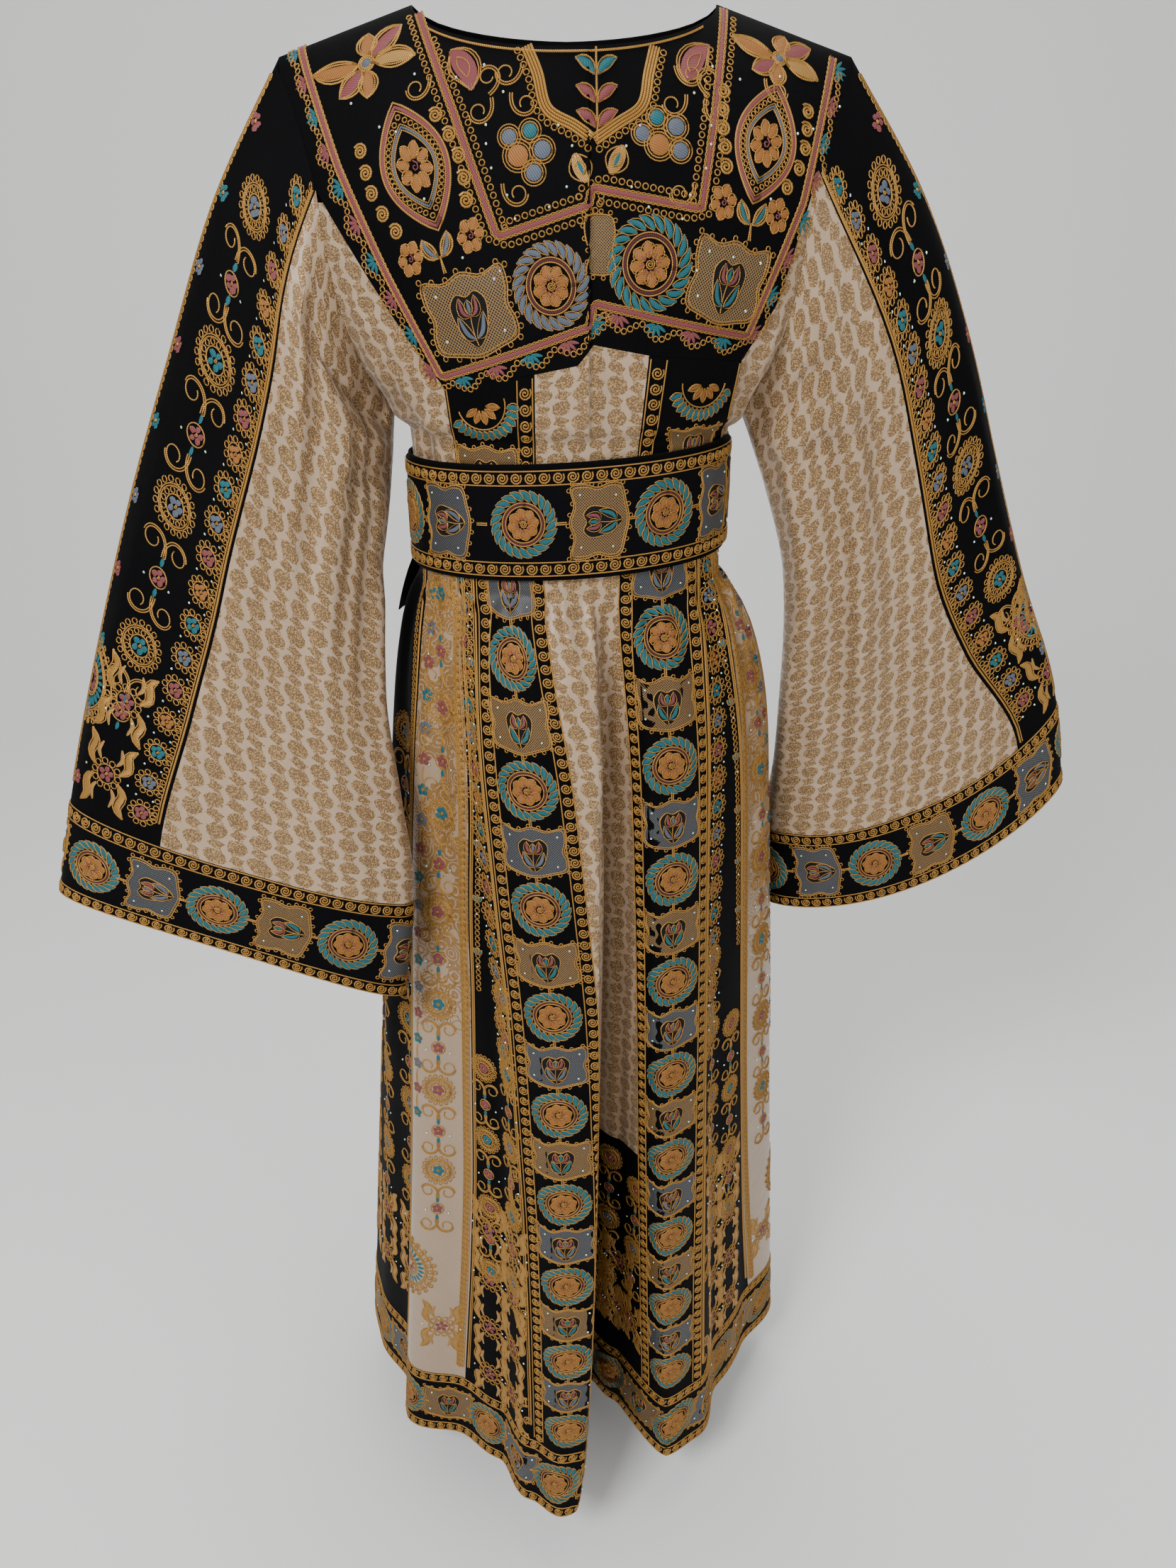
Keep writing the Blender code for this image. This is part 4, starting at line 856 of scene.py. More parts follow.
def brocade_material(name, wide, tall):
    """Cream satin with a woven figure: stippled discs and small squares in turn, joined by thin stems."""
    look = Look(name, Sheen_Weight=0.15)
    across, down = look.lengths()
    wander = (look.noise(55.0, 1.0) - 0.5) * 0.006
    across, down = across / wide + wander, down / tall + wander
    column = across / BROCADE_COLUMN
    line = down / BROCADE_ROW + calc("FRACT", calc("FLOOR", column) * 0.5)
    x = middle_of_cell(column, BROCADE_COLUMN)
    y = middle_of_cell(line, BROCADE_ROW)
    low = middle_of_cell(line + 0.5, BROCADE_ROW)
    ragged = (look.noise(520.0, 1.0) - 0.5) * 0.0030
    disc = calc("SQRT", x * x + y * y) + ragged < DISC_RADIUS
    spread = larger(abs(x * 0.85 + low * 0.50), abs(low * 0.85 - x * 0.50))
    square = spread + ragged < SQUARE_HALF
    sway = calc("SINE", line * (2 * math.pi)) * STEM_SWAY
    stem = abs(x - sway) < STEM_HALF
    figure = larger(larger(disc, square), stem * 0.7)
    spark = within_one((look.noise(760.0, 1.0) - 0.52) * 6.0 + 0.5)
    ground = look.mix(look.noise(22.0, 3.0), (0.335, 0.228, 0.144), (0.415, 0.304, 0.206))
    glint = look.mix(spark, (0.148, 0.080, 0.028), (0.425, 0.262, 0.106))
    look.paint("Base Color", look.mix(figure * 0.92, ground, glint))
    look.paint("Metallic", figure * 0.35)
    look.paint("Roughness", figure * 0.06 + 0.40)
    look.bump(look.noise(20.0, 3.0, 0.5, 0.5), 0.0045, 0.65)
    look.bump(weave(across, down, 0.0006), 0.00008, 0.5)
    look.bump(figure * spark, 0.00045, 0.9)
    return look.material


def satin_material(name, colour, sewn=0.0):
    """Satin, plain or covered down to some length with packed coils of gold thread."""
    look = Look(name, Roughness=0.36, Sheen_Weight=0.10)
    across, down = look.lengths()
    ground = look.mix(look.noise(18.0, 3.0), scaled(colour, 0.86), colour)
    look.bump(look.noise(24.0, 4.0, 0.55, 0.6), 0.0040, 0.6)
    look.bump(weave(across, down, 0.0005), 0.00006, 0.6)
    if sewn:
        coils = look.node("ShaderNodeTexVoronoi", "Distance", Vector=look.place, Scale=64.0)
        rings = abs(calc("SINE", (coils + look.noise(90.0, 2.0) * 0.35) * 15.0))
        gaps = look.noise(34.0, 2.0) > 0.43
        fade = within_one((SEWN_LENGTH - down) * 8.0)
        thread = (rings > 1.1 - fade * 0.68) * gaps
        gold = look.mix(look.noise(700.0, 1.0), (0.130, 0.062, 0.013), (0.290, 0.148, 0.036))
        ground = look.mix(thread * sewn, ground, gold)
        look.bump(rings * thread, 0.0004, 0.9)
    look.paint("Base Color", ground)
    return look.material


def thread_material(name, colour, roughness, metallic):
    """A twisted cord or a row of satin stitches: bands that slant across its length, with painted shade
    between them.
    """
    look = Look(name, Roughness=roughness, Metallic=metallic, Specular_IOR_Level=0.30)
    along, side = look.lengths()
    twist_and_groove_shade = wave(along + side * 0.7, TWIST_PITCH)
    worn = look.noise(45.0, 3.0, 0.6) * 0.6 + look.noise(900.0, 1.0) * 0.4
    lit = look.mix(worn, scaled(colour, 0.82), scaled(colour, 1.28))
    # Painted shade: the grooves between the twists are darkened to 0.42 of the thread's colour, and the
    # crests take the lit colour.
    look.paint("Base Color", look.mix(calc("POWER", twist_and_groove_shade, 0.6), scaled(colour, 0.42), lit))
    look.bump(twist_and_groove_shade, 0.0003, 0.8)
    return look.material


def net_material(name, thread):
    """A couched net over the dark ground: two sets of slanting threads."""
    look = Look(name, Roughness=0.55)
    across, down = look.lengths()
    rising, falling = (wave(across + down * sign, NET_PITCH) < NET_LINE for sign in (1.0, -1.0))
    net = larger(rising, falling)
    strand = look.mix(look.noise(700.0, 1.0), scaled(thread, 0.55), thread)
    look.paint("Base Color", look.mix(net, (0.0010, 0.0010, 0.0014), strand))
    look.paint("Metallic", net * 0.30)
    look.bump(net + rising * falling, 0.0004, 0.9)
    return look.material


def stone_material(name):
    """Small cut glass with a pale rainbow coat."""
    look = Look(name, Metallic=0.85, Roughness=0.12, Coat_Weight=1.0)
    pale = (0.55, 0.85, 0.70, 1.0)
    look.paint("Base Color", look.node("ShaderNodeHueSaturation", 0, Hue=look.noise(310.0, 0.0), Color=pale))
    return look.material


BROCADE_COLUMN = 0.0147
BROCADE_ROW = 0.0260
DISC_RADIUS = 0.0072
SQUARE_HALF = 0.0041
STEM_SWAY = 0.0035
STEM_HALF = 0.0008
SEWN_LENGTH = 0.52
TWIST_PITCH = 0.0016
NET_PITCH = 0.0024
NET_LINE = 0.40
CLOTHS = {
    "black_crepe": crepe_material("crepe", (0.0007, 0.0007, 0.0011)),
    "lining": crepe_material("lining", (0.0050, 0.0050, 0.0060)),
    "cream_brocade": brocade_material("brocade", 1.12, 1.0),
    "cream_satin": satin_material("satin", (0.335, 0.238, 0.155), 0.95),
    "embroidered_band": crepe_material("ribbon_ground", (0.0010, 0.0010, 0.0016)),
    "black_velvet": velvet_material("velvet"),
    "cream_lining": satin_material("cream_lining", (0.33, 0.24, 0.17)),
}
SLEEVE_BROCADE = brocade_material("sleeve_brocade", 1.38, 0.83)
NEEDLEWORK = [thread_material(*row) for row in THREADS]
NEEDLEWORK.append(net_material("net_gold", (0.390, 0.215, 0.060)))
NEEDLEWORK.append(net_material("net_gray", (0.140, 0.152, 0.170)))
NEEDLEWORK.append(stone_material("stone"))


def mesh_piece(name, vertices, faces, uvs, slots, materials):
    """One mesh object from arrays: points, quads, a pair of lengths a point, and a material number a face."""
    mesh = bpy.data.meshes.new(name)
    mesh.vertices.add(len(vertices))
    mesh.vertices.foreach_set("co", np.asarray(vertices, np.float32).ravel())
    mesh.loops.add(faces.size)
    mesh.loops.foreach_set("vertex_index", faces.ravel().astype(np.int32))
    mesh.polygons.add(len(faces))
    mesh.polygons.foreach_set("loop_start", np.arange(len(faces), dtype=np.int32) * 4)
    mesh.polygons.foreach_set("material_index", np.asarray(slots, np.int32))
    layer = mesh.uv_layers.new(name="lengths")
    layer.data.foreach_set("uv", np.asarray(uvs, np.float32)[faces.ravel()].ravel())
    mesh.update(calc_edges=True)
    mesh.validate()
    mesh.shade_smooth()
    for item in materials:
        mesh.materials.append(item)
    piece = bpy.data.objects.new(name, mesh)
    bpy.context.scene.collection.objects.link(piece)
    return piece


class Cloth:
    """A grid of points on the outside of one piece of cloth, which can be read in metres across and down."""

    def __init__(self, points, normals, closed=False):
        if closed:
            points = np.concatenate((points, points[:, :1]), axis=1)
            normals = np.concatenate((normals, normals[:, :1]), axis=1)
        self.points, self.normals, self.closed = points, normals, closed
        steps = np.linalg.norm(np.diff(points, axis=1), axis=2)
        self.reach = np.concatenate((np.zeros((len(points), 1)), np.cumsum(steps, axis=1)), axis=1)
        self.width = self.reach[:, -1]
        middle = points.shape[1] // 2
        fall = np.linalg.norm(np.diff(points[:, middle], axis=0), axis=1)
        self.down = np.concatenate(([0.0], np.cumsum(fall)))
        self.length = float(self.down[-1])
        self.profile = (self.reach / self.width[:, None]).mean(axis=0)

    def at(self, across, down, side):
        """Points and normals. Across is measured from the first edge, middle or last, at side 0, 0.5, 1."""
        rows, columns = self.points.shape[:2]
        row = np.interp(down, self.down, np.arange(rows))
        share = side + across / np.interp(down, self.down, self.width)
        share = share % 1.0 if self.closed else np.clip(share, 0.0, 1.0)
        column = np.interp(share, self.profile, np.arange(columns))
        i = np.minimum(row.astype(int), rows - 2)
        j = np.minimum(column.astype(int), columns - 2)
        f, g = (row - i)[..., None], (column - j)[..., None]
        found = []
        for grid in (self.points, self.normals):
            upper = grid[i, j] * (1 - g) + grid[i, j + 1] * g
            lower = grid[i + 1, j] * (1 - g) + grid[i + 1, j + 1] * g
            found.append(upper * (1 - f) + lower * f)
        return found[0], unit(found[1])

    def frame(self, across, down):
        """How a metre across and up on the flat design reads in this cloth's own two lengths."""
        turn = np.zeros(np.shape(across) + (2, 2))
        turn[..., 0, 0] = 1.0
        turn[..., 1, 1] = -1.0
        return turn


class YokeCloth:
    """The yoke, read by its place as seen from the front: x across and height."""

    def at(self, across, down, side):
        """Points and normals at a place across and a height."""
        return bodice_panel(-1, across, down)

    def frame(self, across, down):
        """How a metre across and up on the cloth reads as a place across and a height."""
        step = 1e-4
        east, west, above, below = (
            bodice_panel(-1, across + step * x, down + step * z)[0]
            for x, z in ((1, 0), (-1, 0), (0, 1), (0, -1))
        )
        right, up = (east - west) / (2 * step), (above - below) / (2 * step)
        rise = np.linalg.norm(up, axis=-1)
        lean = np.sum(right * up, axis=-1) / rise ** 2
        level = right - up * lean[..., None]
        wide = 1 / np.linalg.norm(level, axis=-1)
        turn = np.zeros(np.shape(across) + (2, 2))
        turn[..., 0, 0] = wide
        turn[..., 1, 0] = -lean * wide
        turn[..., 1, 1] = 1 / rise
        return turn


def crease(name, points, normals):
    """Raise the listed creases of one panel. They die away before its edges."""
    rows = [row[1:] for row in CREASES if row[0] == name]
    if not rows:
        return points
    cloth = Cloth(points, normals)
    width, length = float(cloth.width.mean()), cloth.length
    across = cloth.reach
    down = np.broadcast_to(cloth.down[:, None], across.shape)
    height = np.zeros(across.shape)
    for across0, down0, across1, down1, broad, rise in rows:
        start = np.array((across0 * width, down0 * length))
        run = np.array((across1 * width, down1 * length)) - start
        size = float(np.hypot(*run))
        place = across / cloth.width[:, None] * width
        along = ((place - start[0]) * run[0] + (down - start[1]) * run[1]) / size
        aside = ((place - start[0]) * run[1] - (down - start[1]) * run[0]) / size
        spread = broad * np.interp(along / size, (0, 1), CREASE_WIDENING)
        first = ease((along + CREASE_PAST[0]) / CREASE_DYING[0])
        last = ease((size + CREASE_PAST[1] - along) / CREASE_DYING[1])
        height = height + rise * np.exp(-(aside / spread) ** 2) * first * last
    gap = np.minimum(np.minimum(across, cloth.width[:, None] - across), np.minimum(down, length - down))
    return points + normals * (height * ease(gap / CREASE_FADE))[..., None]


def wall(name, points, normals, slot, edges="", closed=False, thick=SHELL_WALL, lift=0.0):
    """Make one cloth shell from a grid of outer points, with its lining side and its edges."""
    outer = part_edges(crease(name, points, normals) + normals * lift, edges)
    inner = outer - normals * thick
    rows, columns = outer.shape[:2]
    count = rows * columns
    cloth = Cloth(outer, normals, closed)
    down = np.broadcast_to(cloth.down[:, None], (rows, columns))
    reach = cloth.reach[:, :columns] - cloth.width[:, None] / 2
    uvs = np.stack((reach, down), axis=-1).reshape(-1, 2)
    spans = np.arange(columns if closed else columns - 1)
    after = (spans + 1) % columns
    lines = np.arange(rows - 1)[:, None] * columns
    below = lines + columns
    quads = np.stack((lines + spans, below + spans, below + after, lines + after), axis=-1).reshape(-1, 4)
    rims = []
    for row in (0, rows - 1):
        a, b = row * columns + spans, row * columns + after
        rims.append(np.stack((a, b, b + count, a + count), axis=-1))
    if not closed:
        for column in (0, columns - 1):
            a = np.arange(rows - 1) * columns + column
            rims.append(np.stack((a, a + columns, a + columns + count, a + count), axis=-1))
    rims = np.concatenate(rims)
    faces = np.concatenate((quads, quads[:, ::-1] + count, rims))
    slots = np.concatenate((np.zeros(len(quads)), np.ones(len(quads)), np.zeros(len(rims))))
    back = "cream_lining" if slot in ("cream_brocade", "cream_satin") else "lining"
    vertices = np.concatenate((outer.reshape(-1, 3), inner.reshape(-1, 3)))
    face = SLEEVE_BROCADE if name.startswith("sleeve_under") else CLOTHS[slot]
    piece = mesh_piece(name + "_cloth", vertices, faces, np.tile(uvs, (2, 1)), slots, [face, CLOTHS[back]])
    shape = bmesh.new()
    shape.from_mesh(piece.data)
    bmesh.ops.recalc_face_normals(shape, faces=shape.faces[:])
    shape.to_mesh(piece.data)
    shape.free()
    piece.data.set_sharp_from_angle(angle=SHARP_EDGE)
    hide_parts(name)
    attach(piece, "root")
    corners = outer.reshape(-1, 3)[quads]
    cross = np.cross(corners[:, 2] - corners[:, 0], corners[:, 3] - corners[:, 1])
    PANELS[name] = cloth
    return piece


PANELS = {"yoke": YokeCloth()}


def yoke_columns():
    """Where each column of the yoke ends: along the armholes, the slanting edges and the lower edge."""
    ends = []
    for hand, sign in (("left", -1), ("right", 1)):
        edge = YOKE_EDGE[hand]
        for z in armhole_steps(hand)[1:]:
            if z > edge.key[-1]:
                ends.append((sign * float(ARMHOLE.at("reach", z)), z))
            elif z > edge.key[0] - 1e-6:
                ends.append((sign * float(edge.line("reach", z)), z))
    for _, _, columns in BODICE_COLUMNS:
        ends += [(x, float(YOKE_FOOT.line("z", x))) for x in finer(columns)[1:]]
    ends = np.array(sorted(ends))
    return ends[np.concatenate(([True], np.diff(ends[:, 0]) > 0.001))]


def make_yoke():
    """The front yoke: columns from armhole to armhole, between the top edge and the lower edge."""
    ends = yoke_columns()
    x = ends[:, 0]
    top = bodice_top(-1, x)
    share = (np.linspace(0, 1, YOKE_ROWS * FINER + 1) ** 1.5)[:, None]
    z = top + (ends[:, 1] - top) * share
    points, normals = bodice_panel(-1, np.broadcast_to(x, z.shape), z)
    points[0, np.abs(x) > NECK_HALF, 1] = -SEAM / 2
    for hand, sign in (("left", -1), ("right", 1)):
        body, _ = armhole_mitre(hand)
        for step, level in enumerate(armhole_steps(hand)[1:TOP_COUNT + 1], 1):
            reach = sign * float(ARMHOLE.at("reach", level))
            nearest = int(np.argmin(np.hypot(x - reach, ends[:, 1] - level)))
            normals[-1, nearest] = body[step]
    wall("yoke_front", points, normals, "black_crepe", "bottom first last")


def band_levels(hand):
    """Heights of the rows below the yoke on one side, from its lower corner to the waist seam."""
    steps = finer(ARMHOLE_LOW_STEPS[hand] + SIDE_STEPS)
    return steps[steps <= YOKE_EDGE[hand].key[0] + 1e-6]


def make_bodice_lower():
    """The bands and the cream middle between the yoke and the waist seam."""
    left, right = band_levels("left"), band_levels("right")
    ends = {
        "bodice_band_left": (left, left),
        "bodice_centre": (left, right),
        "bodice_band_right": (right, right),
    }
    for name, slot, tops in BODICE_COLUMNS:
        tops = finer(tops)
        place = np.interp(tops, BODICE_BANDS.columns["yoke"], BODICE_BANDS.key)
        feet = np.interp(place, BODICE_BANDS.key, BODICE_BANDS.columns["waist"])
        if name == "bodice_centre":
            feet = np.where(np.abs(tops - TUCK_X) < 0.012, tops, feet)
        across = (tops - tops[0]) / (tops[-1] - tops[0])
        start, end = ends[name]
        level = start[:, None] + (end - start)[:, None] * across
        top = YOKE_FOOT.line("z", tops)
        fade = np.clip((level - UNDERARM_Z) / (level[0] - UNDERARM_Z), 0, 1)
        z = level + (top - level[0]) * fade
        x = tops + (feet - tops) * (top - z) / (top - WAIST_Z)
        points, normals = bodice_panel(-1, x, z)
        wall(name, points, normals, slot, "top bottom first last")


def make_bodice_sides():
    """The cream sides under the arms, from the yoke's slanting edge to the side seam."""
    for hand, sign in (("left", -1), ("right", 1)):
        edge = YOKE_EDGE[hand]
        steps = finer(ARMHOLE_LOW_STEPS[hand] + SIDE_STEPS)[1:]
        corner = edge.key[0]
        place = 0 if hand == "left" else 3
        reach = abs(BODICE_BANDS.columns["yoke"][place])
        waist = abs(BODICE_BANDS.columns["waist"][place])
        lower = reach + (waist - reach) * (corner - steps) / (corner - WAIST_Z)
        near = np.where(steps >= corner, edge.line("reach", steps), lower)
        far = np.where(steps > UNDERARM_Z, ARMHOLE.at("reach", steps), BODICE.at("half", steps))
        start = bodice_angle(near, steps)
        end = bodice_angle(far, steps)
        share = np.linspace(0, 1, 6 * FINER + 1)
        angle = start[:, None] + (end - start)[:, None] * share
        z = np.broadcast_to(steps[:, None], angle.shape)
        x = sign * BODICE.at("half", z) * np.sin(angle)
        points, normals = bodice_panel(-1, x, z)
        beyond = steps <= UNDERARM_Z
        points[beyond, -1, 1] = 0.0
        normals[beyond, -1] = (sign, 0, 0)
        body, _ = armhole_mitre(hand)
        first = TOP_COUNT + 1
        normals[:LOW_COUNT, -1] = body[first:first + LOW_COUNT]
        wall("bodice_side_" + hand, points, normals, "cream_brocade", "top bottom first last")


def make_bodice_back():
    """The back in one piece, from the shoulder seams and the back neckline to the waist seam."""
    steps = {hand: ARMHOLE_TOP_STEPS + ARMHOLE_LOW_STEPS[hand] + SIDE_STEPS for hand in ("left", "right")}
    edges = {hand: finer(steps[hand]) for hand in steps}
    reach = {}
    for hand, z in edges.items():
        z[0] = ridge_z(SHOULDER_HALF)
        reach[hand] = np.where(z > UNDERARM_Z, ARMHOLE.at("reach", z), BODICE.at("half", z))
    spots = np.array((-1, -0.90, -0.76, -0.62, -0.54, -0.50, -0.36, -0.18, 0))
    spots = finer(np.concatenate((spots, -spots[-2::-1])))
    rows = len(edges["left"])
    fade = np.clip(1 - np.arange(rows) / (9.0 * FINER), 0, 1)
    x = np.empty((rows, len(spots)))
    z = np.empty_like(x)
    for row in range(rows):
        left, right = reach["left"][row], reach["right"][row]
        part = (spots + 1) / 2
        turn_left = -bodice_angle(left, edges["left"][row])
        turn_right = bodice_angle(right, edges["right"][row])
        level = edges["left"][row] + (edges["right"][row] - edges["left"][row]) * part
        wide = -left + (left + right) * part
        bent = BODICE.at("half", level) * np.sin(turn_left + (turn_right - turn_left) * part)
        x[row] = wide * fade[row] + bent * (1 - fade[row])
        rise = bodice_top(1, wide) - ridge_z(SHOULDER_HALF)
        z[row] = level + rise * fade[row]
    z[0] = bodice_top(1, x[0])
    points, normals = bodice_panel(1, x, z)
    ridge = np.abs(x[0]) > NECK_HALF
    points[0, ridge, 1] = SEAM / 2
    beyond = edges["left"] <= UNDERARM_Z
    for column, hand, sign in ((0, "left", -1), (-1, "right", 1)):
        points[beyond, column, 1] = 0.0
        normals[beyond, column] = (sign, 0, 0)
        body, _ = armhole_mitre(hand)
        half = len(armhole_steps(hand))
        normals[:half, column] = np.concatenate((body[:1], body[:half - 1:-1], body[half - 1:half]))
    wall("bodice_back", points, normals, "black_crepe", "bottom first last")


def skirt_grid():
    """Rows all round the skirt, with the columns of every panel in order, and level normals."""
    rows = []
    for z in np.concatenate((SKIRT_LEVELS, HEM_LEVELS[1:])):
        places, lengths, angle = skirt_seams(z)
        row = []
        for seam, (_, count, _) in enumerate(SKIRT_PANELS):
            spots = np.linspace(places[seam], places[seam + 1], count * FINER + 1)
            row.append(np.interp(spots, lengths, angle)[:-1])
        row.append(back_columns(z, BACK_COLUMNS * FINER)[:-1])
        rows.append(skirt(np.concatenate(row), z))
    points = np.array(rows)
    ahead = unit(np.roll(points, -1, axis=1) - points)
    around = ahead + np.roll(ahead, 1, axis=1)
    normals = unit(np.stack((around[..., 1], -around[..., 0], np.zeros(points.shape[:2])), axis=-1))
    return points, normals


def make_skirt():
    """Nine front panels, the black foot of the middle panel, the back, and the band round the hem."""
    points, normals = skirt_grid()
    total = points.shape[1]
    body = len(SKIRT_LEVELS)
    foot = SKIRT_ROWS.index(CENTRE_END_Z) * ROWS_FINER
    edges = "top bottom first last"
    start = 0
    for name, count, slot in SKIRT_PANELS + (("skirt_back", BACK_COLUMNS, "black_crepe"),):
        columns = [column % total for column in range(start, start + count * FINER + 1)]
        start += count * FINER
        panel, facing = points[:body, columns], normals[:body, columns]
        if name == "skirt_centre":
            wall(name, panel[:foot + 1], facing[:foot + 1], slot, edges)
            wall("skirt_centre_foot", panel[foot:], facing[foot:], "black_crepe", edges)
        else:
            wall(name, panel, facing, slot, edges)
    wall("hem_band", points[body - 1:], normals[body - 1:], "embroidered_band", "top", closed=True)


def make_sleeves():
    """On each arm, a black panel over the top, a cream panel under it, and a band round the cuff."""
    tops = TOP_COUNT
    for hand in ("left", "right"):
        rings, normals = sleeve_grid(hand, finer(SLEEVE_ROWS, ROWS_FINER))
        _, normals[0] = armhole_mitre(hand)
        total = rings.shape[1]
        over = [i % total for i in range(-tops, tops + 1)]
        under = list(range(tops, total - tops + 1))
        edges = "top bottom first last"
        wall("sleeve_top_" + hand, rings[:, over], normals[:, over], "black_crepe", edges)
        wall("sleeve_under_" + hand, rings[:, under], normals[:, under], "cream_brocade", edges)
        rings, normals = sleeve_grid(hand, finer(CUFF_ROWS, ROWS_FINER))
        wall("cuff_" + hand, rings, normals, "embroidered_band", "top", closed=True)


def belt_grid(angles, rows, lift):
    """Rows of the belt, whose plane falls towards the left."""
    turn = np.radians(angles)
    half = WAIST_HALF + BELT_CLEARANCE + lift
    deep = np.where(np.cos(turn) > 0, WAIST_FRONT, WAIST_BACK) + BELT_CLEARANCE + lift
    x = half * np.sin(turn)
    y = -deep * np.cos(turn)
    normals = unit(np.stack((np.sin(turn) / half, -np.cos(turn) / deep, np.zeros(len(turn))), axis=-1))
    points = [np.stack((x, y, BELT_Z + BELT_SLOPE * x + up), axis=-1) for up in rows]
    return np.array(points), np.array([normals] * len(rows))


def make_belt():
    """A velvet belt, and the embroidered ribbon on its front."""
    edge = BELT_HEIGHT / 2
    angles = np.arange(-180, 180, BELT_STEP / FINER)
    points, normals = belt_grid(angles, np.linspace(edge, -edge, 13), BELT_WALL)
    wall("belt_velvet", points, normals, "black_velvet", closed=True, thick=BELT_WALL)
    edge = RIBBON_HEIGHT / 2
    angles = np.arange(-RIBBON_REACH, RIBBON_REACH + 1, BELT_STEP / FINER)
    over = BELT_WALL + SEAM + RIBBON_WALL
    points, normals = belt_grid(angles, np.linspace(edge, -edge, 13), over)
    wall("belt_ribbon", points, normals, "embroidered_band", thick=RIBBON_WALL)


def make_tails():
    """The belt's loose ends: they leave a knot on the left and hang over the skirt."""
    wave = TAIL_WAVE * (1 - np.cos(np.linspace(0, 2 * math.pi, TAIL_COLUMNS)))
    belt_out = WAIST_EASE + BELT_CLEARANCE + BELT_WALL + SEAM + WALL + TAIL_CLEARANCE
    for name, first, last, low in BELT_TAILS:
        rows = []
        for z in np.linspace(TAIL_TOP_Z, low, TAIL_ROWS):
            fan = 0.55 + 0.45 * ease((BELT_Z - z) / 0.08)
            angles = (first + last) / 2 + np.linspace(-1, 1, TAIL_COLUMNS) * fan * (last - first) / 2
            below = min(z - 0.018, FLARE_Z)
            skirt_out = np.max(fold_reach(angles, below) - waist_reach(angles, below)) + TAIL_CLEARANCE
            reach = waist_reach(angles, FLARE_Z) + max(skirt_out + WALL, belt_out) + wave
            turn = np.radians(angles)
            level = np.full(TAIL_COLUMNS, z)
            rows.append(np.stack((reach * np.sin(turn), -reach * np.cos(turn), level), axis=-1))
        points = np.array(rows)
        along = np.gradient(points, axis=1)
        normals = unit(np.stack((-along[..., 1], along[..., 0], np.zeros(along.shape[:2])), axis=-1))
        wall(name, points, normals, "black_velvet")

make_yoke()
make_bodice_lower()
make_bodice_sides()
make_bodice_back()
make_skirt()
make_sleeves()
make_belt()
make_tails()


# Needlework. A motif is drawn flat, in metres, u to the right and v up, and then placed on a cloth
MM = 0.001
CORD_HALF = 0.00058
CORD_RISE = 0.00095
FILL_RISE = 0.00055


class Stroke:
    """Cords or filled petals of one kind: lines of the same length, their half width and their height."""

    def __init__(self, lines, half, rise, thread, closed=False):
        self.lines = np.asarray(lines, float).reshape(-1, *np.shape(lines)[-2:])
        count = self.lines.shape[1]
        self.half = np.broadcast_to(half, count).astype(float)
        self.rise = np.broadcast_to(rise, count).astype(float)
        self.thread, self.closed = thread, closed


class Patch:
    """Filled outlines, with the height of the cloth at a few steps from the outline to the middle."""

    def __init__(self, outlines, rises, thread, shares=(1.0, 0.66, 0.33, 0.01)):
        outlines = np.asarray(outlines, float).reshape(-1, *np.shape(outlines)[-2:])
        middle = outlines.mean(axis=1, keepdims=True)
        self.rings = np.stack([middle + (outlines - middle) * share for share in shares], axis=1)
        self.rises = np.asarray(rises, float)
        self.thread = thread


def path_at(places, keys, path):
    """Points of a path at places between its keys."""
    return np.stack([np.interp(places, keys, path[:, axis]) for axis in (0, 1)], axis=-1)


def turned(points, angle):
    """Points turned counterclockwise round the middle."""
    c, s = np.cos(angle), np.sin(angle)
    return np.asarray(points, float) @ np.array(((c, s), (-s, c)))


def fanned(line, angles):
    """A copy of a line at each angle round the middle."""
    return np.array([turned(line, angle) for angle in angles])


def around(line, count, start=0.0):
    """Copies of a line, turned evenly round the middle."""
    return fanned(line, start + 2 * math.pi * np.arange(count) / count)


def circle(radius, count=24, middle=(0.0, 0.0), squash=1.0):
    """Points round a circle or an oval."""
    turn = np.arange(count) * 2 * math.pi / count
    return np.stack((middle[0] + radius * np.cos(turn), middle[1] + radius * squash * np.sin(turn)), axis=-1)


def curve(points, count, closed=False):
    """A smooth line through a few points."""
    points = np.asarray(points, float)
    if closed:
        points = np.concatenate((points[-2:], points, points[:3]))
        keys = np.arange(len(points)) - 2.0
        at = np.arange(count) * (len(points) - 5) / count
    else:
        first, last = 2 * points[0] - points[1], 2 * points[-1] - points[-2]
        points = np.concatenate(([first], points, [last]))
        keys = np.arange(len(points)) - 1.0
        at = np.linspace(0, len(points) - 3, count)
    i = np.clip(np.searchsorted(keys, at, side="right") - 1, 1, len(points) - 3)
    f = (at - keys[i])[:, None]
    a, b, c, d = points[i - 1], points[i], points[i + 1], points[i + 2]
    bend = (2 * a - 5 * b + 4 * c - d) * f ** 2 + (3 * b - a - 3 * c + d) * f ** 3
    return 0.5 * (2 * b + (c - a) * f + bend)


def spiral(inner, outer, turns, count):
    """Points that wind outwards."""
    share = np.linspace(0, 1, count)
    turn = 2 * math.pi * turns * share
    radius = inner + (outer - inner) * share
    return np.stack((radius * np.cos(turn), radius * np.sin(turn)), axis=-1)


def lens(line, width, power=0.8):
    """The closed outline of a petal along a line, wide in its middle."""
    line = np.asarray(line, float)
    ahead = unit(np.gradient(line, axis=0))
    side = np.stack((-ahead[:, 1], ahead[:, 0]), axis=-1)
    swell = np.sin(np.pi * np.linspace(0, 1, len(line))) ** power
    left = line + side * (width * swell)[:, None]
    right = line - side * (width * swell)[:, None]
    return np.concatenate((left, right[-2:0:-1]))


def cord(lines, thread="gold", closed=False, half=CORD_HALF, rise=CORD_RISE):
    """A couched cord along lines."""
    return Stroke(lines, half, rise, thread, closed)


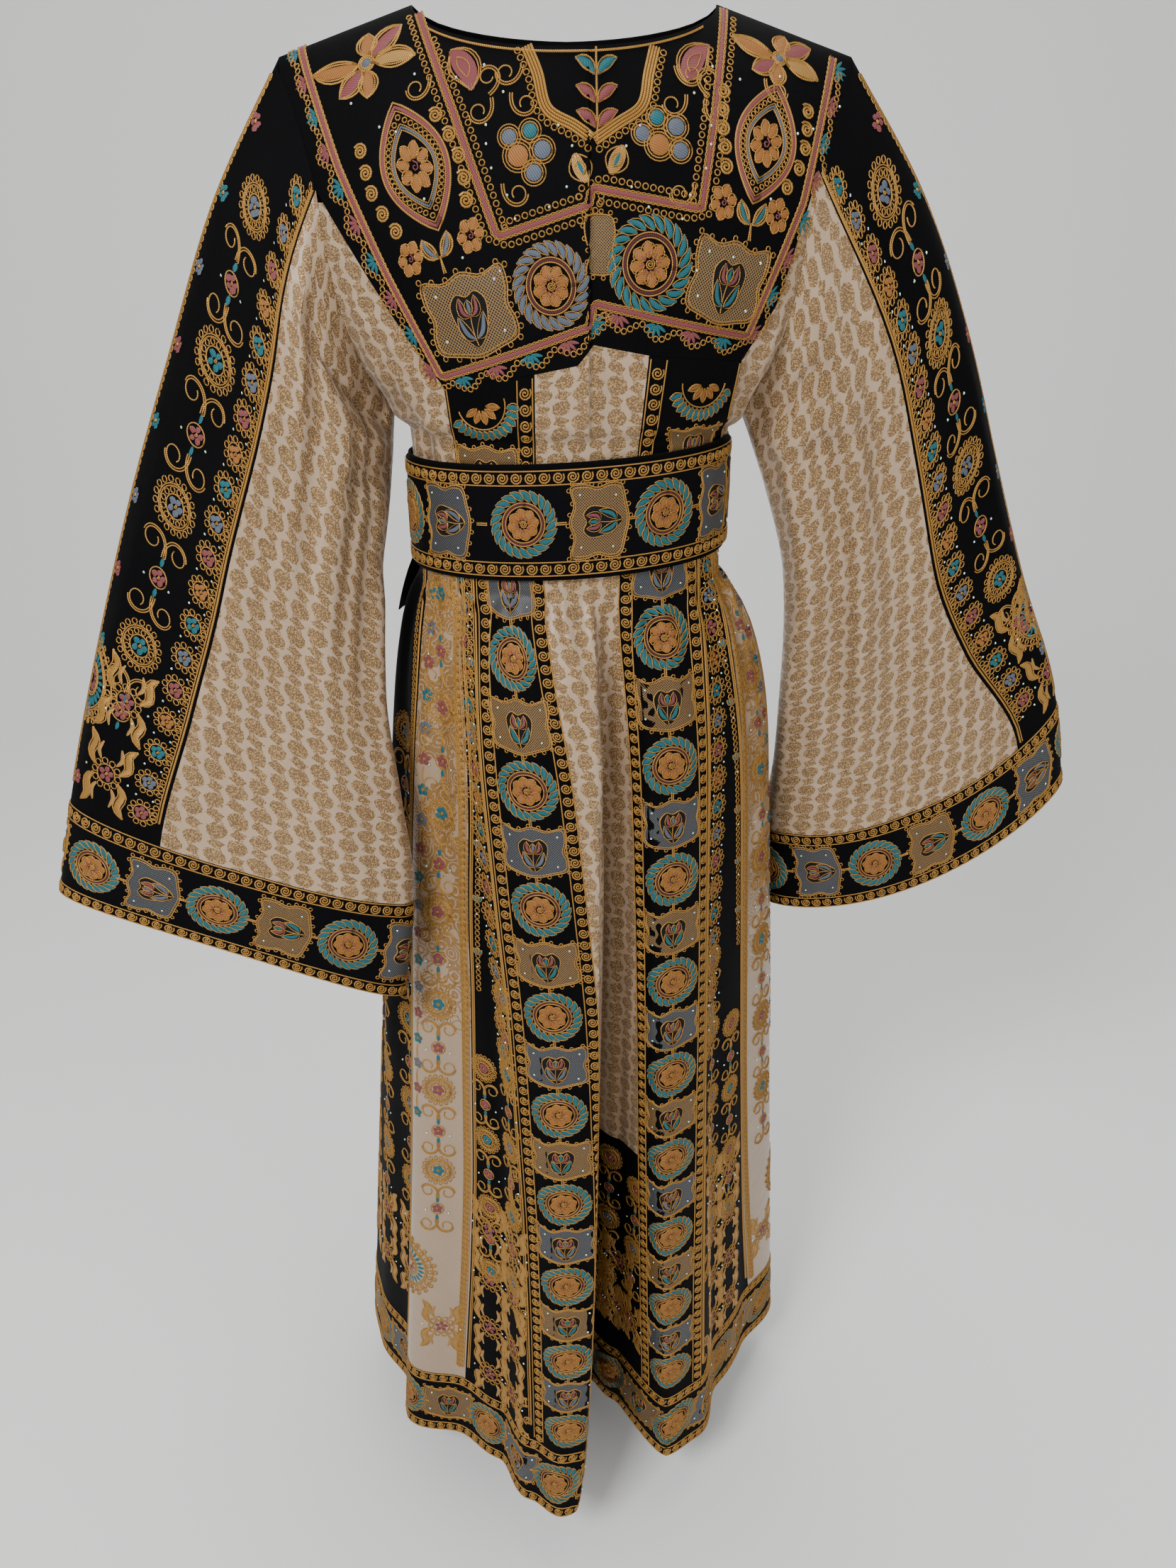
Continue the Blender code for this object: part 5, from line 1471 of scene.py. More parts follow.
def ring(lines, half=CORD_HALF, rise=CORD_RISE):
    """A closed gold cord."""
    return cord(lines, "gold", True, half, rise)


def loops(lines):
    """Small closed loops of thin gold cord."""
    return ring(lines, 0.0005, 0.0008)


def fill(lines, width, thread, power=0.7, rise=FILL_RISE):
    """Satin stitch along lines: as wide as it says in the middle, and narrow at both ends."""
    swell = np.sin(np.pi * np.linspace(0.06, 0.94, np.shape(lines)[-2])) ** power
    return Stroke(lines, width * swell, rise * swell ** 0.5, thread)


def line_between(first, last, count, bow=0.0):
    """A line from one point to another, bowed to its left."""
    first, last = np.asarray(first, float), np.asarray(last, float)
    share = np.linspace(0, 1, count)[:, None]
    ahead = last - first
    side = np.array((-ahead[1], ahead[0]))
    return first + ahead * share + side * bow * 4 * share * (1 - share)


def flower(radius, count, thread, hub="gold", start=0.0, edged=False):
    """A small flower: filled petals, edged or plain, and a coiled middle."""
    inner = radius * 0.30
    line = line_between((inner, 0), (radius, 0), 6)
    made = [fill(around(line, count, start), radius * 1.9 / count, thread, 0.45, 0.0009)]
    if edged:
        made.append(ring(around(lens(line, radius * 2.2 / count, 0.6), count, start), 0.0005))
    made.append(cord(spiral(0.0002, inner * 0.8, 1.25, 8), hub, rise=0.0012))
    return made


def loops_round(radius, count, loop, start=0.0):
    """A ring of small loops of cord."""
    return loops(around(circle(loop, 9, (radius, 0.0)), count, start))


def ring_motif(thread):
    """A flower inside a ring of curved petals, which all lean the same way."""
    share = np.linspace(0, 1, 6)
    lean = 0.40 * share ** 1.4
    radius = 19.4 * MM + 9.4 * MM * share
    crescent = np.stack((radius * np.cos(lean), radius * np.sin(lean)), axis=-1)
    made = [fill(around(crescent, 21), 2.2 * MM, thread, 0.55, 0.0010)]
    made.append(ring(around(lens(crescent, 3.0 * MM), 21), 0.00042, 0.0010))
    made.append(ring(circle(18.4 * MM, 40)))
    made.append(cord(circle(16.9 * MM, 40), "plum", True, 0.0009, 0.0007))
    made.append(ring(circle(15.4 * MM, 36)))
    petal = line_between((4.0 * MM, 0), (13.6 * MM, 0), 6)
    made.append(fill(around(petal, 8, 0.2), 3.9 * MM, "tan", 0.5, 0.0010))
    made.append(ring(around(lens(petal, 4.8 * MM, 0.6), 8, 0.2), 0.00045, 0.0012))
    core = line_between((3.4 * MM, 0), (9.0 * MM, 0), 4)
    made.append(fill(around(core, 8, 0.2), 1.5 * MM, "rose", rise=0.0013))
    made.append(cord(spiral(0.4 * MM, 3.4 * MM, 2.2, 20), rise=0.0012))
    return made


SHIELD = (
    (-29, 24), (-14, 21), (0, 25), (14, 21), (29, 24), (31, 12), (28, 1), (31, -9), (29, -19),
    (15, -23), (0, -26), (-15, -23), (-29, -19), (-31, -9), (-28, 1), (-31, 12),
)
CARTOUCHE = (
    (0, -20), (8, -13), (12, -3), (13, 7), (7, 13), (0, 10.5), (-7, 13), (-13, 7), (-12, -3), (-8, -13),
)


def square_motif(net, bud, leaf):
    """A wavy shield filled with net, round a dark cartouche that holds a tulip."""
    shield = np.array(SHIELD) * MM
    border = curve(shield, 56, True)
    made = [Patch(border * 0.97, (0.0002, 0.0003, 0.0003, 0.0003), net)]
    made.append(ring(border))
    made.append(ring(border * 0.93, 0.0005))
    loops = curve(shield, 26, True) * 1.055
    made.append(ring(np.array([circle(1.7 * MM, 8, spot) for spot in loops]), 0.00045, 0.0008))
    card = curve(np.array(CARTOUCHE) * MM, 30, True)
    made.append(Patch(card, (0.0006, 0.0007, 0.0007, 0.0007), "black"))
    made.append(ring(card, rise=0.0013))
    made += tulip(bud, leaf)
    spots = ((-21, 15), (21, -14), (23, 16), (-22, -12))
    made += [stone_at(np.array(spot) * MM) for spot in spots]
    return made


def tulip(bud, leaf):
    """A bud of three petals on a stem with a pair of leaves."""
    made = [cord(line_between((0, -19 * MM), (0, 0), 8, 0.05), rise=0.0016)]
    for side in (-1, 1):
        flip = np.array((side, 1.0))
        low = curve(np.array(((0.6, -15), (6.0, -10), (9.4, 0.5))) * MM, 8) * flip
        outer = curve(np.array(((0.8, -1.5), (5.2, 2.5), (5.6, 11.0))) * MM, 7) * flip
        for line, width, thread in ((low, 3.0, leaf), (outer, 2.5, bud)):
            made.append(fill(line, width * MM, thread, 0.6, 0.0015))
            made.append(ring(lens(line, (width + 0.7) * MM), 0.00042, 0.0017))
    middle = line_between((0, -0.5 * MM), (0, 9.0 * MM), 6)
    made.append(fill(middle, 2.3 * MM, leaf, rise=0.0018))
    made.append(ring(lens(middle, 3.0 * MM), 0.00042, 0.0020))
    return made


def rosette():
    """A coil of cord that winds outwards."""
    return [cord(spiral(0.5 * MM, 5.2 * MM, 2.1, 22), half=0.0007, rise=0.0011)]


def stem_link():
    """The short stem between two motifs."""
    return [cord(line_between((side * 0.8 * MM, -5 * MM), (side * 0.8 * MM, 5 * MM), 4)) for side in (-1, 1)]


def blossom(thread):
    """A five-petalled flower in a ring of loops, as in the chains along the seams."""
    made = flower(6.6 * MM, 5, thread, start=0.3)
    made.append(ring(circle(8.0 * MM, 18), 0.0005))
    made.append(loops_round(10.8 * MM, 10, 2.6 * MM))
    return made


def bare_blossom(thread):
    """A small flower of five petals with no ring."""
    return flower(7.0 * MM, 5, thread, start=0.3)


def scroll(size, mirror=1, turns=1.15, count=30, coiled=False):
    """A double cord that starts upwards and curls to one side. Coiled, it is placed by the coil's middle."""
    share = np.linspace(0, 1, count)
    heading = math.pi / 2 - mirror * 2 * math.pi * turns * share ** 1.55
    steps = np.stack((np.cos(heading), np.sin(heading)), axis=-1) * (size * 2.1 / count)
    line = np.concatenate(([[0.0, 0.0]], np.cumsum(steps, axis=0)))[:-1]
    side = np.stack((-np.sin(heading), np.cos(heading)), axis=-1) * mirror
    cut = int(count * 0.62)
    if coiled:
        line = line - line[-1]
    return [cord(line), cord((line + side * 1.9 * MM)[:cut])]


def medallion(radius, thread):
    """A flower in rings of cord and loops."""
    made = flower(radius * 0.36, 5, thread)
    for share in (0.44, 0.72, 0.80):
        made.append(ring(circle(radius * share, 26)))
    made.append(loops(around(circle(radius * 0.105, 8, (radius * 0.58, 0.0)), 12)))
    made.append(loops(around(circle(radius * 0.115, 8, (radius * 0.95, 0.0)), 18)))
    return made


def leaf_fan(thread, count=3, size=8.5 * MM, spread=0.62, edged=True):
    """Leaves that fan out upwards from one point, each in a loop of cord or bare."""
    made = []
    for turn in np.linspace(-spread, spread, count):
        line = turned(line_between((0, 0.8 * MM), (0, size), 5), turn)
        made.append(fill(line, 1.35 * MM, thread, rise=0.0009))
        if edged:
            made.append(ring(lens(line, 2.0 * MM), 0.00045, 0.0008))
    return made


def sprig():
    """A stem with three pairs of leaves."""
    made = [cord(line_between((0, -6 * MM), (0, 62 * MM), 12), half=0.0008)]
    for height, thread in ((4, "rose"), (22, "rose"), (42, "teal")):
        for side in (-1, 1):
            start, end = np.array(((side * 1.5, height), (side * 16, height + 12))) * MM
            line = line_between(start, end, 7, side * 0.14)
            made.append(fill(line, 3.3 * MM, thread, rise=0.0017))
            made.append(ring(lens(line, 4.4 * MM), rise=0.0019))
    return made


def mandorla():
    """A pointed oval on the yoke: a rose cord, loops and a gray cord round an eight-petalled flower."""
    almond = lens(line_between((0, -49 * MM), (0, 49 * MM), 20), 27 * MM, 0.85)
    made = [ring(almond, 0.0008), cord(almond * 0.93, "rose", True, 0.0014, 0.0009)]
    made += [ring(almond * 0.87), ring(almond * 0.665, 0.0005)]
    made += [cord(almond * 0.62, "gray", True, 0.0009, 0.0008), ring(almond * 0.57, 0.0005)]
    made.append(loops(np.array([circle(1.9 * MM, 8, spot) for spot in almond * 0.765])))
    for item in flower(14.0 * MM, 8, "tan", "rose", 0.39, True):
        item.lines = item.lines * np.array((1.0, 1.35))
        made.append(item)
    return made


STAR_PETALS = (
    # turn in degrees, reach, half width, thread
    (-4, 41, 8.0, "pale_gold"), (42, 38, 8.5, "rose"), (88, 25, 8.0, "tan"),
    (178, 47, 8.0, "tan"), (226, 33, 8.0, "rose"), (272, 29, 7.5, "tan"),
)


def star():
    """Six petals in gold and rose, each in two cords, round a gray dot."""
    made = []
    for degrees, reach, width, thread in STAR_PETALS:
        line = turned(line_between((6 * MM, 0), (reach * MM, 0), 8, 0.05), math.radians(degrees))
        made.append(fill(line, width * 0.62 * MM, thread, 0.8, 0.0010))
        made.append(ring(lens(line, width * 0.80 * MM)))
        made.append(ring(lens(line, (width + 0.8) * MM), 0.0008))
    made.append(Patch(circle(4.0 * MM, 12), (0.0003, 0.0011, 0.0014, 0.0014), "gray"))
    made.append(ring(circle(4.6 * MM, 14), 0.0009, 0.0014))
    made.append(ring(circle(6.4 * MM, 16), 0.0009, 0.0012))
    return made


CLUSTER_PETALS = (
    # x, y, radius, thread
    (-11, 7, 5.2, "gray"), (1, 10, 5.0, "teal"), (-6, -3, 7.4, "tan"),
    (8, 0, 6.0, "gray"), (3, -12, 5.6, "gray"),
)


def cluster():
    """Round petals in gray, teal and tan, each in a double cord."""
    made = []
    for x, y, radius, thread in CLUSTER_PETALS:
        middle = np.array((x, y)) * MM
        made.append(Patch(circle(radius * 0.8 * MM, 14, middle), (0.0003, 0.0009, 0.0011, 0.0011), thread))
        made.append(ring(circle(radius * 0.95 * MM, 16, middle)))
        made.append(ring(circle((radius + 1.4) * MM, 18, middle), 0.0005))
    return made


def heart(thread):
    """A gold leaf with a coloured core."""
    line = line_between((0, -8 * MM), (0, 8 * MM), 8)
    made = [fill(line, 5.6 * MM, "pale_gold"), fill(line * 0.5, 2.3 * MM, thread, rise=0.0011)]
    made += [ring(lens(line, 6.4 * MM)), ring(lens(line * 0.5, 2.9 * MM), rise=0.0014)]
    return made


def paisley(thread):
    """A bent drop with the cord outline of a smaller drop in it."""
    line = curve(np.array(((-12, 9), (-4, 4), (5, -4), (11, -15))) * MM, 10)
    made = [fill(line, 8.0 * MM, thread, 0.9), ring(lens(line, 9.2 * MM, 0.9))]
    made.append(ring(lens(line, 11.2 * MM, 0.9)))
    made.append(ring(lens(line * 0.5, 3.6 * MM, 0.9), rise=0.0014))
    return made


NET_PIECE = (
    (-11, 22), (0, 24), (11, 21), (13, 8), (10, -6), (12, -20), (0, -23), (-12, -19), (-9, -6), (-12, 8),
)


def net_piece():
    """A tall wavy piece of gold net."""
    outline = curve(np.array(NET_PIECE) * MM, 34, True)
    made = [Patch(outline * 0.96, (0.0002, 0.0003, 0.0003, 0.0003), "net_gold"), ring(outline)]
    made.append(ring(np.array([circle(1.7 * MM, 8, spot) for spot in outline[::2] * 1.1]), 0.00045, 0.0008))
    return made


def tulip_leaves(thread):
    """Two pointed leaves that open upwards on a short stem, each in two cords."""
    made = [cord(line_between((side * 0.8 * MM, -11 * MM), (0, 0), 4)) for side in (-1, 1)]
    for side in (-1, 1):
        line = line_between((side * 1.0 * MM, -1 * MM), (side * 9 * MM, 13 * MM), 7, -side * 0.12)
        made.append(fill(line, 1.5 * MM, thread))
        made.append(ring(lens(line, 2.3 * MM)))
        made.append(ring(lens(line, 4.1 * MM), 0.0008))
    return made


def stone_at(middle):
    """One domed stone."""
    dome = (0.0008, 0.0014, 0.0016, 0.0016)
    return Patch(circle(1.15 * MM, 6, middle), dome, "stone", (1.0, 0.7, 0.35, 0.01))


def stone():
    """One stone, ready to be placed."""
    return [stone_at((0.0, 0.0))]


def half_wheel(thread):
    """The lower half of a wheel of curved petals round half a flower, under the edge of the yoke."""
    fan = np.linspace(-0.12 * math.pi, -0.88 * math.pi, 13)
    petal = line_between((20 * MM, 0), (30 * MM, 0), 6, 0.10)
    inner = line_between((4 * MM, 0), (15 * MM, 0), 6)
    return [
        fill(fanned(petal, fan), 2.3 * MM, thread, 0.55, 0.0010),
        ring(fanned(lens(petal, 3.1 * MM), fan), 0.00045, 0.0010),
        cord(fanned((19 * MM, 0.0), np.linspace(0, -math.pi, 20))),
        fill(fanned(inner, fan[::3]), 1.9 * MM, "tan", 0.5, 0.0010),
        ring(fanned(lens(inner, 2.5 * MM), fan[::3]), 0.0005, 0.0012),
    ]


def half_medallion(radius):
    """Half a large medallion: arcs of cord, a ring of petals and a dotted middle, opening to the right."""
    turn = np.linspace(-math.pi / 2, math.pi / 2, 24)
    arc = np.stack((np.cos(turn), np.sin(turn)), axis=-1) * radius
    leaf = line_between((radius * 0.46, 0), (radius * 0.70, 0), 5)
    drop = line_between((radius * 0.12, 0), (radius * 0.33, 0), 4)
    return [
        cord(np.array([arc * share for share in (0.36, 0.42, 0.74, 0.80, 1.0)]), half=0.0008),
        fill(fanned(leaf, turn[1::2]), radius * 0.055, "teal"),
        fill(fanned(drop, turn[2::4]), radius * 0.05, "rose"),
        ring(fanned(circle(radius * 0.07, 8, (radius * 0.90, 0.0)), turn[::2])),
        ring(fanned(circle(radius * 0.065, 8, (radius * 1.08, 0.0)), turn[::2])),
    ]


class Needlework:
    """Everything sewn on one piece of cloth, gathered into one mesh."""

    def __init__(self, name, slot="black_crepe", panel=None):
        self.name, self.slot, self.cloth = name + "_needlework", slot, PANELS[panel or name]
        self.vertices, self.faces, self.uvs, self.threads = [], [], [], []
        self.total = 0

    def emit(self, points, uvs, thread, closed):
        """Add grids of points, (grid, row, step, 3), as quads between rows and steps."""
        grids, rows, steps = points.shape[:3]
        spans = np.arange(steps if closed else steps - 1)
        grid = np.arange(grids)[:, None, None] * rows * steps
        row = np.arange(rows - 1)[None, :, None] * steps
        a = grid + row + spans
        b = grid + row + (spans + 1) % steps
        self.faces.append(np.stack((a, b, b + steps, a + steps), axis=-1).reshape(-1, 4) + self.total)
        self.threads.append(np.full(len(self.faces[-1]), THREAD_NAMES.index(thread)))
        self.vertices.append(points.reshape(-1, 3))
        self.uvs.append(uvs.reshape(-1, 2))
        self.total += grids * rows * steps

    def strokes(self, lines, stroke, side):
        """Raise the arch of each line, (line, step, 2) in the cloth's own lengths, from the cloth."""
        points, normals = self.cloth.at(lines[..., 0], lines[..., 1], side)
        if stroke.closed:
            ahead = np.roll(points, -1, axis=1) - np.roll(points, 1, axis=1)
            steps = np.linalg.norm(np.roll(points, -1, axis=1) - points, axis=-1)
        else:
            ahead = np.gradient(points, axis=1)
            steps = np.linalg.norm(np.diff(points, axis=1, append=points[:, -1:]), axis=-1)
        away = unit(np.cross(normals, ahead))
        half, rise = stroke.half[None, :, None], stroke.rise[None, :, None]
        low = points + normals * NEEDLE_LIFT
        grid = np.stack((low - away * half, low + normals * rise, low + away * half), axis=1)
        along = np.cumsum(steps, axis=1)[:, None, :] * np.ones((1, 3, 1))
        sides = np.stack((-stroke.half, 0 * stroke.half, stroke.half))[None] * np.ones((len(lines), 1, 1))
        self.emit(grid, np.stack((along, sides), axis=-1), stroke.thread, stroke.closed)

    def place(self, motif, spots, side=0.5, angle=0.0, scale=1.0, stretch=1.0):
        """Sew a motif at each spot, (across, down), turned by its angle."""
        spots = np.asarray(spots, float).reshape(-1, 2)
        if not len(spots):
            return
        turn, wide, tall = (np.broadcast_to(value, len(spots)) for value in (angle, scale, stretch))
        size = np.stack((wide, tall * wide), axis=-1)
        spin = np.array(((np.cos(turn), -np.sin(turn)), (np.sin(turn), np.cos(turn)))).transpose(2, 0, 1)
        both = self.cloth.frame(spots[:, 0], spots[:, 1]) @ spin
        for item in motif:
            flat = item.lines if isinstance(item, Stroke) else item.rings
            shape = (len(spots),) + (1,) * (flat.ndim - 1)
            sized = flat[None] * size.reshape(shape + (2,))
            moved = np.einsum("mij,m...j->m...i", both, sized) + spots.reshape(shape + (2,))
            if isinstance(item, Stroke):
                self.strokes(moved.reshape(-1, *flat.shape[1:]), item, side)
            else:
                rings = moved.reshape(-1, *flat.shape[1:])
                points, normals = self.cloth.at(rings[..., 0], rings[..., 1], side)
                points = points + normals * (NEEDLE_LIFT + item.rises[None, :, None, None])
                uvs = np.broadcast_to(flat[None], (len(spots),) + flat.shape).reshape(rings.shape)
                facing = np.cross(points[:, 0, 1] - points[:, 0, 0], points[:, 1, 0] - points[:, 0, 0])
                if np.sum(facing * normals[:, 0, 0]) < 0:
                    points, uvs = points[:, :, ::-1], uvs[:, :, ::-1]
                self.emit(points, uvs, item.thread, True)

    def line(self, points, thread="gold", side=0.5, half=CORD_HALF, rise=CORD_RISE, closed=False):
        """One cord along a line in the cloth's own lengths."""
        lines = np.asarray(points, float)[None]
        self.strokes(lines, cord(lines, thread, closed, half, rise), side)

    def walk(self, path, pitch, side=0.5, start=0.0):
        """Evenly spaced places along a path, and the flat direction of the path at each."""
        path = np.asarray(path, float)
        fine = np.linspace(0, len(path) - 1, 60 * len(path))
        dense = path_at(fine, np.arange(len(path)), path)
        points, _ = self.cloth.at(dense[:, 0], dense[:, 1], side)
        lengths = np.concatenate(([0], np.cumsum(np.linalg.norm(np.diff(points, axis=0), axis=1))))
        stops = np.arange(start, lengths[-1] + 1e-6, pitch)
        before, spots, ahead = (path_at(stops + shift, lengths, dense) for shift in (-MM, 0.0, MM))
        frames = self.cloth.frame(spots[:, 0], spots[:, 1])
        flat = np.linalg.solve(frames, (ahead - before)[..., None])[..., 0]
        return spots, np.arctan2(flat[:, 1], flat[:, 0])

    def beside(self, path, offset, step=0.004, side=0.5):
        """The path moved to its left by an offset."""
        return self.shifted(*self.walk(path, step, side), offset)

    def shifted(self, spots, turn, offset):
        """Spots moved to the left of their directions, by one offset or one each."""
        left = np.stack((-np.sin(turn), np.cos(turn)), axis=-1) * np.reshape(offset, (-1, 1))
        return spots + np.einsum("mij,mj->mi", self.cloth.frame(spots[:, 0], spots[:, 1]), left)

    def lace(self, path, offset, loop=2.3 * MM, pitch=5.6 * MM, side=0.5):
        """A row of loops beside a path, on its left for a positive offset."""
        spots, turn = self.walk(self.beside(path, offset, 0.004, side), pitch, side)
        self.place([loops(circle(loop, 8))], spots, side, turn)

    def braid(self, path, side=0.5):
        """A border: a broad rose cord between two pairs of twined gold ones."""
        self.line(self.beside(path, 0.0, 0.005, side), "rose", side, 0.0020, 0.0010)
        for offset in (-2.6 * MM, 2.6 * MM):
            spots, turn = self.walk(self.beside(path, offset, 0.004, side), 0.0014, side)
            for sign in (-1, 1):
                sway = np.sin(np.arange(len(spots)) * 1.05) * sign * 0.7 * MM
                self.line(self.shifted(spots, turn, sway), "gold", side, 0.0005, 0.0012)

    def finish(self):
        """Make the piece, which rides with its cloth."""
        piece = mesh_piece(self.name, np.concatenate(self.vertices), np.concatenate(self.faces),
                           np.concatenate(self.uvs), np.concatenate(self.threads), NEEDLEWORK)
        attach(piece, "root")


# Layout of the needlework. Sizes are metres along the cloth
RING_PITCH = 0.0598
PITCH_LOSS = 0.00037
FIRST_RING = {"left": 0.0955, "right": 0.0816}
CHAIN_INSET = 0.0062
CHAIN_PITCH = 0.0119
RING_WIDTH = 0.0590
RIBBON_PITCH = 0.0600
RIBBON_INSET = CHAIN_INSET + 0.0005
HEM_FIRST = 0.4764
CUFF_MOTIFS = 12
CUFFS = {
    # place of the first motif, its kind, and the turn of all
    "left": (0.0500, 3, math.pi / 2),
    "right": (0.0529, 0, -math.pi / 2),
}
BELT_MOTIFS = (-0.1700, -0.1105, -0.0365, 0.0274, 0.0869, 0.1489, 0.2040)
MEDALLION_PITCH = 0.122
FLOWER_PITCH = 0.0292
EDGE_CORD = {"half": 0.0009, "rise": 0.0014}
KINDS = ("gray", "ring", "gold", "ring")
SQUARES = {"gold": square_motif("net_gold", "rose", "teal"), "gray": square_motif("net_gray", "rose", "gray")}
RINGS = {"teal": ring_motif("teal"), "gray": ring_motif("gray")}

# The edge of a panel that faces the middle of the front, and the way from it into the cloth
INNER = {"left": (1.0, -1), "right": (0.0, 1)}


def pairs(across, down):
    """Places on the cloth, from one number or several each way."""
    return np.stack(np.broadcast_arrays(across, down), axis=-1).astype(float)


def column(inset, start, end, step=0.02):
    """A path down the cloth, at one distance from an edge."""
    return pairs(inset, np.arange(start, end, step))


def sew_kinds(work, spots, first, side, angle=0.0, scale=1.0, stretch=1.0):
    """Rings, gray squares and gold squares in turn, one at each spot."""
    kinds = np.array([KINDS[(first + i) % 4] for i in range(len(spots))])
    scale, stretch = np.broadcast_to(scale, len(spots)), np.broadcast_to(stretch, len(spots))
    for kind in ("gray", "gold", "ring"):
        chosen = kinds == kind
        motif = RINGS["teal"] if kind == "ring" else SQUARES[kind]
        work.place(motif, spots[chosen], side, angle, scale[chosen], stretch[chosen])


def sew_in_turn(work, motif, threads, spots, side, scale=1.0):
    """One motif at each spot, in several threads in turn."""
    for number, thread in enumerate(threads):
        work.place(motif(thread), spots[number::len(threads)], side, 0.0, scale)


def sew_skirt_band(hand):
    """Rings and squares down a band of the skirt, closer towards the hem, between two chains of rosettes."""
    work = Needlework("skirt_band_" + hand, "embroidered_band")
    cloth = work.cloth
    number = np.arange(-1, 17)
    places = FIRST_RING[hand] + RING_PITCH * number - PITCH_LOSS * number ** 2
    number, places = number[places < cloth.length - 0.012], places[places < cloth.length - 0.012]
    stretch = (RING_PITCH - 2 * PITCH_LOSS * number) / RING_PITCH
    room = np.interp(places, cloth.down, cloth.width) - 2 * CHAIN_INSET - CHAIN_PITCH
    scale = np.clip(room / RING_WIDTH, 0.74, 1.0)
    sew_kinds(work, pairs(0.0, places), 0, 0.5, 0.0, scale, stretch / scale)
    work.place(stem_link(), pairs(0.0, (places[1:] + places[:-1]) / 2))
    for side, inset in ((0.0, CHAIN_INSET), (1.0, -CHAIN_INSET)):
        work.place(rosette(), column(inset, 0.020, cloth.length - 0.004, CHAIN_PITCH), side)
        for beyond in (-0.0062, 0.0058):
            work.line(column(inset + beyond, 0.002, cloth.length - 0.001, 0.006), side=side)
    return work


def sew_ribbon(name, panel, start, end, motifs, first, angle):
    """A ribbon with motifs along it and a chain of rosettes along each edge."""
    work = Needlework(name, "embroidered_band", panel)
    height = work.cloth.length
    spots = pairs(motifs, height / 2)
    sew_kinds(work, spots, first, 0.0, angle)
    work.place(stem_link(), (spots[1:] + spots[:-1]) / 2, 0.0, math.pi / 2)
    for down in (RIBBON_INSET, height - RIBBON_INSET):
        work.place(rosette(), pairs(np.arange(start, end - CHAIN_PITCH / 2, CHAIN_PITCH), down), 0.0)
        for beyond in (-0.0056, 0.0060):
            line = pairs(np.arange(start, end - 0.001, 0.006), down + beyond)
            work.line(line, side=0.0, closed=work.cloth.closed)
    return work


def sew_hem():
    """The ribbon all round the hem."""
    girth = float(PANELS["hem_band"].width.mean())
    count = 4 * round(girth / RIBBON_PITCH / 4)
    motifs = HEM_FIRST + np.arange(-count // 2, count // 2) * girth / count
    return sew_ribbon("hem", "hem_band", 0.0, girth, motifs % girth, 1, 0.0)


def sew_cuff(hand):
    """The ribbon round a cuff."""
    girth = float(PANELS["cuff_" + hand].width.mean())
    start, first, turn = CUFFS[hand]
    motifs = start + np.arange(CUFF_MOTIFS) * girth / CUFF_MOTIFS
    return sew_ribbon("cuff_" + hand, "cuff_" + hand, 0.0, girth, motifs, first, turn)


def sew_belt():
    """The ribbon on the belt's front, whose motifs lie on their sides."""
    width = float(PANELS["belt_ribbon"].width.mean())
    motifs = width / 2 + np.array(BELT_MOTIFS)
    return sew_ribbon("belt", "belt_ribbon", 0.006, width - 0.004, motifs, 3, math.pi / 2)


def flower_chain(work, path, side):
    """Flowers in rings of loops, in four colours in turn, along a path."""
    spots, _ = work.walk(path, FLOWER_PITCH, side, 0.016)
    sew_in_turn(work, blossom, ("teal", "gray", "rose", "tan"), spots, side)
    between, _ = work.walk(path, FLOWER_PITCH, side, 0.0306)
    for sign in (-1, 1):
        work.place(stone(), between + np.array((sign * 0.008, 0.0)), side)


def scroll_column(work, path, side, start=0.0, size=1.0, threads=("gray", "teal")):
    """Medallions, pairs of scrolls, leaves and small flowers down the middle of a panel."""
    pitch = MEDALLION_PITCH * size
    spots, _ = work.walk(path, pitch, side, start)
    for number, thread in enumerate(threads):
        work.place(medallion(21 * MM, thread), spots[number::2], side, 0.0, size)
    for mirror in (-1, 1):
        for gap, angle, flip in ((0.0440, 0.0, mirror), (0.0780, math.pi, -mirror)):
            places, _ = work.walk(path, pitch, side, start + gap * size)
            work.place(scroll(31 * MM, flip), places, side, angle, size)
    places, _ = work.walk(path, pitch, side, start + 0.061 * size)
    work.place(bare_blossom("rose") + [ring(circle(8.6 * MM, 18))], places, side, 0.0, size)
    leaf = [fill(line_between((0, 10 * MM), (0, 18 * MM), 5), 2.0 * MM, "teal")]
    for turn in (0.0, math.pi):
        work.place(leaf, places, side, turn, size)
    for sign in (-1, 1):
        work.place(stone(), places + np.array((sign * 0.013, 0.004)), side)


def dense_column(work, path, side):
    """Dense gold leaves round a flower, as in the lower part of a sleeve or a skirt panel."""
    spots, _ = work.walk(path, 0.0700, side, 0.028)
    work.place(blossom("rose"), spots, side, 0.0, 1.15)
    leaf = curve(np.array(((13, 4), (20, 14), (17, 27), (24, 36))) * MM, 10)
    inner = curve(np.array(((8, 12), (12, 20), (9, 30))) * MM, 8)
    for mirror in (-1, 1):
        for turn in (1, -1):
            flip = np.array((mirror, turn))
            tip = (inner * 0.7 + np.array((13 * MM, 0))) * flip
            leaves = [fill(leaf * flip, 3.2 * MM, "gold", 0.7, 0.0011), cord(lens(leaf * flip, 4.6 * MM))]
            leaves.append(fill(inner * flip, 2.2 * MM, "pale_gold", 0.7, 0.0011))
            work.place(leaves + [fill(tip, 1.8 * MM, "gold")], spots, side)
        work.place(stone(), spots + np.array((mirror * 0.023, 0.0)), side)


